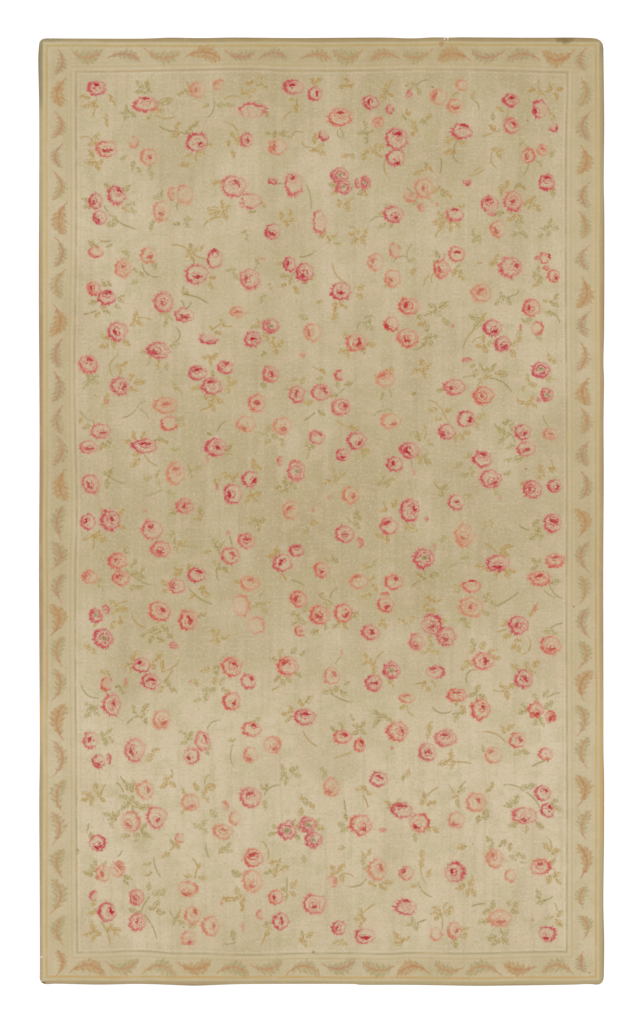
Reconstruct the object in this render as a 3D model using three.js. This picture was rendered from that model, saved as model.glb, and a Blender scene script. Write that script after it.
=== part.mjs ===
// A large tapestry-woven rug, lying flat: one sheet of cloth with its border woven in.
// Its edges wander by a few millimetres, as hand-woven selvages do, its corners are worn round,
// and one small nick is worn into the top edge.
// Millimetres, +Z up. The rug lies on its underside with its length along Y. The origin is in
// the middle of the underside.
import * as THREE from "three";

// Driving dimensions, in millimetres
const RUG_WIDTH = 2824;
const RUG_LENGTH = 4735;
const RUG_THICKNESS = 3;
const SELVAGE_ROUND = 0.9;

// How far each straight edge wanders. along is the place on that edge, measured from its middle,
// towards +X or +Y. out is how far the cloth reaches past the straight line, or falls short of it.
const LEFT_EDGE = [
  { along: -2240, out: -4 },
  { along: -1850, out: -3 },
  { along: -1450, out: -1 },
  { along: -1150, out: -3.5 },
  { along: -300, out: 0 },
  { along: 350, out: -2.5 },
  { along: 1150, out: 1 },
  { along: 1750, out: -1 },
  { along: 2050, out: 0 },
  { along: 2250, out: 4.5 },
];
const RIGHT_EDGE = [
  { along: -2150, out: 2 },
  { along: -1950, out: -2.5 },
  { along: -1650, out: 1 },
  { along: -1350, out: 1.5 },
  { along: -1200, out: -2 },
  { along: -950, out: -2.5 },
  { along: -350, out: -3.5 },
  { along: 150, out: -0.5 },
  { along: 450, out: -1.5 },
  { along: 650, out: 1 },
  { along: 750, out: -2 },
  { along: 950, out: 2 },
  { along: 1450, out: 2 },
  { along: 1650, out: -0.5 },
  { along: 1950, out: 2 },
  { along: 2250, out: -1.5 },
];
const BOTTOM_EDGE = [
  { along: -1316, out: -4.5 },
  { along: -1115, out: 0 },
  { along: -920, out: -3.5 },
  { along: -755, out: 0.5 },
  { along: -640, out: 4.5 },
  { along: -515, out: 0.5 },
  { along: -355, out: -3 },
  { along: 125, out: -4 },
  { along: 205, out: 0.5 },
  { along: 445, out: 1 },
  { along: 765, out: 5.5 },
  { along: 925, out: 4 },
  { along: 1245, out: 0 },
  { along: 1325, out: -3 },
];
const TOP_EDGE = [
  { along: -1316, out: -3.5 },
  { along: -915, out: -4.5 },
  { along: -755, out: 0.5 },
  { along: -595, out: -2 },
  { along: -435, out: 1 },
  { along: -115, out: -1.5 },
  { along: 285, out: 1 },
  { along: 445, out: -3 },
  { along: 560, out: 1.5 },
  { along: 700, out: 2 },
  { along: 1085, out: 0 },
  { along: 1245, out: 0.5 },
];

// How far each worn corner lies inside the straight edges, and how far its rounding runs along
// the two edges beside it
const CORNERS = {
  bottomLeft: { inX: 3, inY: 2, alongX: 38, alongY: 34 },
  bottomRight: { inX: 0, inY: 0, alongX: 36, alongY: 44 },
  topRight: { inX: 2, inY: 1.5, alongX: 62, alongY: 52 },
  topLeft: { inX: 0, inY: 3, alongX: 40, alongY: 34 },
};

// A worn nick in the top edge
const NICK = { along: 632, width: 6, depth: 16, tipWidth: 1.6 };

const POINTS_PER_SPAN = 4;
const ROUNDING_STEPS = 3;

const halfWidth = RUG_WIDTH / 2;
const halfLength = RUG_LENGTH / 2;

// Each edge's rows as points of the outline
const onLeft = ({ along, out }) => new THREE.Vector2(-halfWidth - out, along);
const onRight = ({ along, out }) => new THREE.Vector2(halfWidth + out, along);
const onBottom = ({ along, out }) => new THREE.Vector2(along, -halfLength - out);
const onTop = ({ along, out }) => new THREE.Vector2(along, halfLength + out);

// A corner's own point, and where its rounding ends on the level and on the upright edge
function cornerAt({ inX, inY, alongX, alongY }, sideX, sideY) {
  const point = new THREE.Vector2(sideX * (halfWidth - inX), sideY * (halfLength - inY));
  const onLevel = new THREE.Vector2(point.x - sideX * alongX, point.y);
  const onUpright = new THREE.Vector2(point.x, point.y - sideY * alongY);
  return { point, onLevel, onUpright };
}

// The round corner from where the outline now is, on one edge, to the point end on the next
function roundCorner(outline, { point }, end) {
  outline.quadraticCurveTo(point.x, point.y, end.x, end.y);
}

// The nick, cut from right to left across the top edge
function cutNick(outline) {
  const mouth = NICK.width / 2;
  const tip = NICK.tipWidth / 2;
  outline.lineTo(NICK.along + mouth, halfLength);
  outline.lineTo(NICK.along + tip, halfLength - NICK.depth);
  outline.lineTo(NICK.along - tip, halfLength - NICK.depth);
  outline.lineTo(NICK.along - mouth, halfLength);
}

// The rug's outline, counter-clockwise from the bottom left corner
function rugOutline() {
  const bottomLeft = cornerAt(CORNERS.bottomLeft, -1, -1);
  const bottomRight = cornerAt(CORNERS.bottomRight, 1, -1);
  const topRight = cornerAt(CORNERS.topRight, 1, 1);
  const topLeft = cornerAt(CORNERS.topLeft, -1, 1);

  const topRows = [...TOP_EDGE].reverse();
  const topBeforeNick = topRows.filter((row) => row.along > NICK.along);
  const topAfterNick = topRows.filter((row) => row.along < NICK.along);

  const outline = new THREE.Shape();
  outline.moveTo(bottomLeft.onLevel.x, bottomLeft.onLevel.y);
  outline.splineThru([...BOTTOM_EDGE.map(onBottom), bottomRight.onLevel]);
  roundCorner(outline, bottomRight, bottomRight.onUpright);
  outline.splineThru([...RIGHT_EDGE.map(onRight), topRight.onUpright]);
  roundCorner(outline, topRight, topRight.onLevel);
  outline.splineThru(topBeforeNick.map(onTop));
  cutNick(outline);
  outline.splineThru([...topAfterNick.map(onTop), topLeft.onLevel]);
  roundCorner(outline, topLeft, topLeft.onUpright);
  outline.splineThru([...[...LEFT_EDGE].reverse().map(onLeft), bottomLeft.onUpright]);
  roundCorner(outline, bottomLeft, bottomLeft.onLevel);
  return outline;
}

// The woven sheet: the outline at the cloth's thickness, its selvage rounded above and below
function rugSheet() {
  const sheet = new THREE.ExtrudeGeometry(rugOutline(), {
    depth: RUG_THICKNESS - 2 * SELVAGE_ROUND,
    curveSegments: POINTS_PER_SPAN,
    bevelThickness: SELVAGE_ROUND,
    bevelSize: SELVAGE_ROUND,
    bevelOffset: -SELVAGE_ROUND,
    bevelSegments: ROUNDING_STEPS,
  });
  sheet.computeBoundingBox();
  const { min, max } = sheet.boundingBox;
  sheet.translate(-(min.x + max.x) / 2, -(min.y + max.y) / 2, -min.z);
  return sheet;
}

const wovenWool = new THREE.MeshStandardMaterial({
  color: 0xc6b78f,
  roughness: 0.95,
  metalness: 0,
});

const rug = new THREE.Mesh(rugSheet(), wovenWool);
rug.name = "rug";

const part = new THREE.Group();
part.add(rug);

export default part;
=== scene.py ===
"""A large tapestry-woven rug with scattered rose sprays and a border of feathery leaves, laid on a floor.

The weaver's chart below places every rose, leaf, stem and border leaf. One chart square is
5 mm of cloth, x runs to the right and y runs down from the top edge. The rug's mesh is cut along
small patches, one round each motif, and each patch tells the woven wool where its motif lies and
what it is. The wool's node groups then draw the motifs, stripes, shading and weave over the cloth.
"""
import math

import bmesh
import bpy
import numpy as np
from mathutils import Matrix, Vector
from mathutils.geometry import delaunay_2d_cdt


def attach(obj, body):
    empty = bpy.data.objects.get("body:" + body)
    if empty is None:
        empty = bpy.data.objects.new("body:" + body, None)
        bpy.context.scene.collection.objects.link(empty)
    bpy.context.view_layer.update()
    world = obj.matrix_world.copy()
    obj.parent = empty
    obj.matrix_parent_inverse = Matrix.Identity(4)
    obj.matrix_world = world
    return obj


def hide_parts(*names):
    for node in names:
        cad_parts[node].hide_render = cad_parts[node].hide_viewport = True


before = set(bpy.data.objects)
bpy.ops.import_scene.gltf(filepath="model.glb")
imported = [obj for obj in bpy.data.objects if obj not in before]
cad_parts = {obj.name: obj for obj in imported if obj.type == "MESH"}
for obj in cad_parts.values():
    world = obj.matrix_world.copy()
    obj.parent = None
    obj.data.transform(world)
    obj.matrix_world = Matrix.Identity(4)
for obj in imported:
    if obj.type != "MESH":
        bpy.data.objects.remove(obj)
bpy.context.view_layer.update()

# The chart's scale, and the square that lies over the middle of the rug
CHART_SQUARE = 0.005
CHART_MIDDLE_X = 321.25
CHART_MIDDLE_Y = 511.5

# The cloth
THICKNESS = 0.003
SELVAGE_STEPS = 6
GROUND_SPACING = 0.045
WARP_PITCH = 0.0034
WEFT_PITCH = WARP_PITCH * 0.42
SMALLEST_GAP = 0.0002
EDGE_CLEAR = 0.020
FLAT_MARGIN = 0.02

# How far each kind of patch reaches past its motif
ROSE_REACH = 1.55
ROSE_SIDES = 16
LEAF_WIDTH = 0.28
LEAF_GROWTH = 1.14
STEM_REACH = 2.4
FEATHER_REACH = 2.5
STRIP_SPANS = 6

# The weft's turns on the selvage
TURN_PITCH = 0.0075
TURN_THICKNESS = 0.0029
TURN_INSET = 0.0010
TURN_UNEVENNESS = 0.22
TURN_SEED = 5

# The camera, straight above, with the photo's frame of 642 by 1024 squares
CAMERA_LENS = 100
CAMERA_SENSOR = 36
FRAME_SQUARES = 1024
FRAME_MIDDLE_X = 321
FRAME_MIDDLE_Y = 512
HALF_FIELD = 240

# The studio: a plain pale floor under a soft window and an even sky
FLOOR_REACH = 40
FLOOR_DROP = 0.0003
FLOOR_WHITE = 0.88
FLOOR_GLOW = 0.22
SKY_STRENGTH = 0.755
WINDOW_PLACE = (-3.5, 5.0, 8.0)
WINDOW_STRENGTH = 1.15
WINDOW_SOFTNESS = 24

# Roses. x and y are the middle of the head, across and tall its size. heavy is the side where its
# outline is strongest, in degrees from the right, anticlockwise. The heart lies off the middle.
ROSE_COLUMNS = "x y across tall heavy heart_x heart_y"
ROSE = {
    "blush bud": """
        396 250 13 15 200 3 3 | 261 259 7 3 0 0 0 | 411 195 14 13 270 0 0 | 423 207 9 8 180 0 0 |
        436 204 4 4 0 0 0 | 144 511 6 3 0 0 0 | 207 460 4 5 0 0 0 | 329 497 4 4 0 0 0 | 312 510 5 4 0 0 0 |
        499 498 4 5 0 0 0 | 413 472 4 6 0 0 0 | 228 534 4 5 90 0 0 | 434 547 4 6 0 0 0 | 190 681 3 3 0 0 0 |
        341 653 3 6 0 0 0 | 180 838 9 9 200 3 3 | 391 748 4 3 0 0 0 | 221 903 3 4 0 0 0 |
        242 927 4 8 0 0 0 | 331 882 12 11 20 3 0 | 261 915 9 9 200 -2 3 | 532 920 3 3 0 0 0
    """,
    "blush full": """
        130 822 20 21 20 -2 -3
    """,
    "blush heart": """
        332 676 16 17 200 2 2 | 457 820 17 16 200 -2 -4 | 189 938 15 14 200 1 -4 | 455 930 14 17 200 2 -1
    """,
    "blush open": """
        256 625 17 17 10 -4 1
    """,
    "coral bud": """
        242 203 9 9 0 0 0 | 547 267 8 6 230 0 0 | 538 259 6 5 100 0 0 | 385 595 8 5 90 0 0 |
        107 684 12 13 200 4 4 | 301 631 12 11 200 0 0 | 381 830 9 4 0 0 0
    """,
    "coral full": """
        340 117 23 19 250 0 4 | 442 269 16 18 200 -3 -1 | 94 288 14 14 220 -3 0 | 356 342 20 17 230 3 -1 |
        409 306 20 17 200 -3 1 | 408 338 21 18 230 -2 -2 | 532 308 17 18 190 -3 0 |
        484 395 20 18 200 -2 -1 | 118 561 18 16 200 -2 1 | 121 578 18 15 200 -2 2 | 160 611 22 19 220 3 1 |
        189 620 19 20 200 1 0 | 299 599 17 16 180 -3 0 | 320 615 20 19 200 -1 -2 | 344 613 18 18 200 3 -2 |
        555 560 19 14 270 0 2 | 540 578 21 15 250 -1 2 | 232 667 20 19 200 2 3 | 288 666 21 19 200 -3 3 |
        398 731 21 19 200 4 0 | 551 645 20 18 200 0 -4 | 484 661 22 17 200 2 0 | 457 695 20 13 200 0 2 |
        481 709 20 20 200 2 2 | 536 710 16 15 200 0 -4 | 550 717 11 12 20 1 -1 | 360 745 11 13 200 2 2 |
        361 825 22 21 200 3 -4 | 419 823 20 19 20 -3 -4 | 254 858 20 18 200 -2 3 | 540 867 20 16 20 0 3
    """,
    "coral heart": """
        107 149 21 16 190 0 -2 | 528 156 14 14 20 -2 -1 | 457 254 16 16 200 0 2 | 545 258 11 12 200 4 2 |
        554 276 12 13 200 2 -2 | 392 324 15 14 220 -4 -3 | 257 403 16 18 200 0 0 | 90 577 15 13 180 -3 1 |
        322 570 16 14 200 0 -2 | 394 582 18 15 200 2 3 | 386 604 16 16 200 1 -3 | 472 586 18 12 200 0 4 |
        232 701 17 18 200 2 -2 | 252 729 18 15 200 2 3 | 343 737 18 13 200 1 2 | 518 740 17 15 200 2 0 |
        276 897 14 14 200 -2 -1 | 407 873 15 14 200 -3 2
    """,
    "coral open": """
        96 252 14 11 230 -2 -3 | 537 328 12 13 0 0 0 | 169 423 17 14 230 0 -4 | 546 754 14 12 200 1 1
    """,
    "crimson bud": """
        324 135 10 11 240 0 -4 | 391 109 9 9 190 2 -1 | 409 96 6 9 90 0 -1 | 553 127 9 9 300 3 -1 |
        273 180 9 8 250 0 0 | 358 183 6 9 200 0 0 | 467 181 8 8 270 0 0 | 209 338 19 12 240 1 -3 |
        539 399 5 6 220 0 0 | 105 610 8 9 30 0 0 | 108 759 6 9 20 0 0 | 94 896 9 9 150 -2 2
    """,
    "crimson eyed": """
        340 175 17 14 225 1 1 | 344 187 15 13 190 1 0 | 365 183 12 13 180 0 0 | 271 326 16 14 220 0 0 |
        541 370 17 16 220 1 1 | 547 395 13 13 180 0 0 | 96 615 13 14 220 0 0 | 424 558 21 19 200 0 0 |
        104 638 18 18 200 0 0 | 392 670 17 16 200 0 -1 | 308 825 16 16 200 0 0 | 287 830 17 18 220 -1 -2 |
        314 840 16 15 200 0 0
    """,
    "crimson full": """
        97 88 18 14 215 0 3 | 397 139 22 21 200 1 5 | 462 131 20 16 220 2 5 | 511 100 15 13 215 1 2 |
        117 195 19 18 200 2 4 | 305 272 18 18 200 -2 -3 | 341 291 20 17 220 0 -2 | 547 182 16 17 220 0 4 |
        107 297 18 15 230 0 4 | 118 331 20 19 200 -3 -1 | 159 350 22 16 190 -4 -2 | 198 373 19 14 200 -1 3 |
        212 386 20 18 210 -1 4 | 121 386 19 18 200 3 -1 | 253 339 16 16 220 0 0 | 493 328 18 16 200 2 -3 |
        503 344 16 15 200 1 -3 | 145 446 25 14 190 0 2 | 217 447 22 18 190 1 0 | 410 450 20 16 200 -3 -1 |
        483 459 20 16 200 1 4 | 491 479 22 18 200 3 -4 | 533 489 19 17 200 -3 0 | 410 510 19 22 200 4 1 |
        111 520 19 20 200 1 1 | 345 534 18 17 200 0 0 | 553 523 18 19 200 1 2 | 498 563 23 16 200 0 -4 |
        431 624 21 20 20 1 -3 | 519 625 19 18 200 -2 0 | 151 681 19 16 200 0 1 | 374 683 17 16 200 0 0 |
        305 717 22 16 200 0 3 | 446 636 19 18 200 -1 -3 | 524 679 18 18 200 1 1 | 402 810 21 16 200 0 4 |
        428 752 18 18 200 0 0 | 406 907 22 16 200 0 5 | 454 872 20 19 10 -2 0
    """,
    "crimson heart": """
        197 142 22 18 150 3 -2 | 294 87 20 14 180 -1 2 | 315 94 14 13 190 2 0 | 371 102 15 14 200 -2 0 |
        396 158 18 17 160 1 -5 | 540 109 15 17 160 -4 -2 | 96 201 13 15 200 -2 -1 |
        100 217 14 14 200 -2 -3 | 197 274 22 19 180 0 -3 | 215 259 15 18 200 0 8 | 273 231 15 15 200 -1 -3 |
        394 214 19 17 200 2 -3 | 290 264 13 15 200 -2 0 | 233 494 18 20 200 -4 -1 | 357 441 19 17 200 3 -2 |
        343 455 14 12 200 0 -2 | 395 464 16 15 210 -2 0 | 251 479 17 16 190 3 -2 | 467 419 18 16 180 3 -1 |
        447 432 16 15 200 -3 -2 | 523 432 16 15 200 2 -2 | 555 486 14 13 200 2 -2 | 457 502 17 15 200 0 0 |
        88 522 15 16 200 -2 1 | 197 575 18 14 200 2 3 | 297 550 14 12 230 0 3 | 283 563 19 17 200 -2 1 |
        142 665 17 15 230 -2 2 | 435 672 18 13 20 -2 3 | 99 761 13 14 200 -1 -3 | 97 843 16 16 20 1 -4 |
        379 779 17 15 200 1 2 | 543 793 16 15 200 2 3 | 548 810 14 14 200 2 2 | 108 912 18 18 180 3 1 |
        281 921 16 17 200 1 0 | 339 928 14 14 200 -2 0 | 365 936 20 15 200 0 -2 | 547 934 17 15 30 -1 -4
    """,
    "peach bud": """
        220 85 12 10 160 -2 1 | 134 142 9 12 290 -1 5 | 173 194 9 13 180 0 0 | 303 353 5 8 270 0 -2 |
        224 806 8 9 20 1 2
    """,
    "peach full": """
        124 268 17 18 200 -1 1 | 482 293 20 19 200 -2 2 | 238 312 16 11 180 0 0 | 386 379 18 16 150 -2 4 |
        166 405 24 16 200 0 1 | 176 473 19 23 200 0 4 | 250 583 20 15 200 0 3 | 465 535 20 22 200 -2 -3 |
        472 607 24 20 200 -1 0 | 162 719 18 19 200 2 -4 | 191 802 18 17 200 0 -4 | 223 832 20 15 200 0 2 |
        272 745 18 17 20 3 -3 | 332 787 17 18 200 -2 -5 | 476 802 20 19 200 2 2 | 117 869 15 16 10 2 2 |
        187 889 20 16 10 -1 -5 | 253 881 20 22 200 -1 -5 | 378 869 19 21 200 3 1 | 495 858 18 18 200 -2 2 |
        500 918 23 17 200 0 -4
    """,
    "peach heart": """
        198 90 15 16 190 -2 0 | 149 157 17 16 190 1 0 | 278 147 18 16 200 -4 0 | 378 123 11 11 90 0 0 |
        439 97 17 15 180 -4 1 | 456 106 16 14 180 0 -2 | 543 150 11 11 180 0 1 | 149 255 16 16 200 1 -2 |
        162 211 17 20 200 -1 -3 | 376 262 16 17 180 -3 1 | 393 278 16 17 210 -2 -2 |
        424 188 19 19 200 -1 0 | 498 229 15 17 200 -2 -2 | 313 332 17 17 190 -4 -1 |
        246 424 19 16 220 -2 -4 | 283 426 18 17 190 0 -3 | 391 421 20 15 200 2 -3 | 291 510 17 18 190 -2 2 |
        351 495 17 16 200 2 -1 | 551 434 14 12 200 0 0 | 359 581 18 15 180 -2 4 | 407 698 15 10 200 0 2 |
        145 790 17 17 180 3 0 | 251 755 14 15 200 -2 -4 | 494 755 18 16 200 -3 3 | 103 873 14 17 200 -1 -1 |
        193 915 16 17 200 2 3 | 211 926 18 19 200 3 0
    """,
    "peach open": """
        462 85 12 11 180 0 0 | 185 194 18 19 200 2 2 | 241 605 17 22 10 -6 0 | 235 818 11 13 200 -1 4 |
        511 875 11 13 200 0 0 | 436 934 12 13 270 0 -2
    """,
    "rose bud": """
        492 213 7 6 270 0 0 | 107 403 4 6 90 0 0 | 340 375 10 10 200 0 4 | 520 327 3 5 0 0 0 |
        452 326 3 3 0 0 0 | 467 361 9 6 100 0 0 | 216 487 4 5 0 0 0 | 281 461 7 9 170 0 0 |
        426 519 4 4 0 0 0 | 359 543 8 10 20 1 0 | 534 608 4 6 0 0 0 | 125 682 4 6 0 0 0 |
        175 645 10 7 200 0 0
    """,
    "rose eyed": """
        297 471 18 19 190 0 1
    """,
    "rose full": """
        146 104 24 15 215 0 5 | 512 126 16 16 190 2 2 | 234 186 24 22 200 3 3 | 164 302 20 20 200 -2 -1 |
        250 279 20 20 230 -4 0 | 490 204 17 17 200 -1 4 | 513 201 19 20 230 0 0 | 511 267 22 20 200 5 1 |
        89 364 19 18 240 0 4 | 226 367 15 13 220 1 3 | 271 374 17 16 200 1 0 | 297 394 17 17 230 -1 0 |
        321 392 20 16 190 3 2 | 455 387 21 16 210 -4 -1 | 91 484 18 19 210 -2 -2 | 185 506 17 15 190 -1 0 |
        341 407 19 17 210 4 1 | 161 549 19 16 200 -1 -3 | 247 541 17 15 180 0 2 | 112 705 18 22 200 2 1 |
        203 741 15 20 200 3 2 | 371 632 18 15 200 1 0 | 417 642 16 16 200 -1 -4 | 446 738 22 17 200 -1 3 |
        135 750 20 23 200 -4 -1 | 251 797 21 20 220 -2 3 | 525 816 25 18 200 -1 -4 |
        137 897 15 16 200 -2 -2 | 138 922 17 17 200 -1 0 | 315 904 23 20 200 0 -3
    """,
    "rose heart": """
        247 140 13 14 160 1 0 | 294 184 18 22 230 -1 6 | 455 214 17 14 250 0 4 | 185 315 19 14 200 -1 -2 |
        101 431 20 15 200 2 -2 | 89 447 17 13 200 0 -2 | 317 437 15 13 200 2 3 | 526 449 18 15 200 1 -1 |
        152 530 21 18 200 -1 3 | 231 556 18 17 200 2 2 | 177 586 17 14 200 -4 0 | 389 526 18 17 200 -2 3 |
        91 740 15 16 200 -1 1 | 249 681 15 15 200 3 2 | 191 756 16 16 10 -2 -2 | 157 817 20 21 200 1 -3
    """,
    "rose open": """
        252 111 26 15 90 0 0 | 250 201 25 15 190 4 -2 | 320 222 14 23 200 0 0
    """,
}

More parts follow.
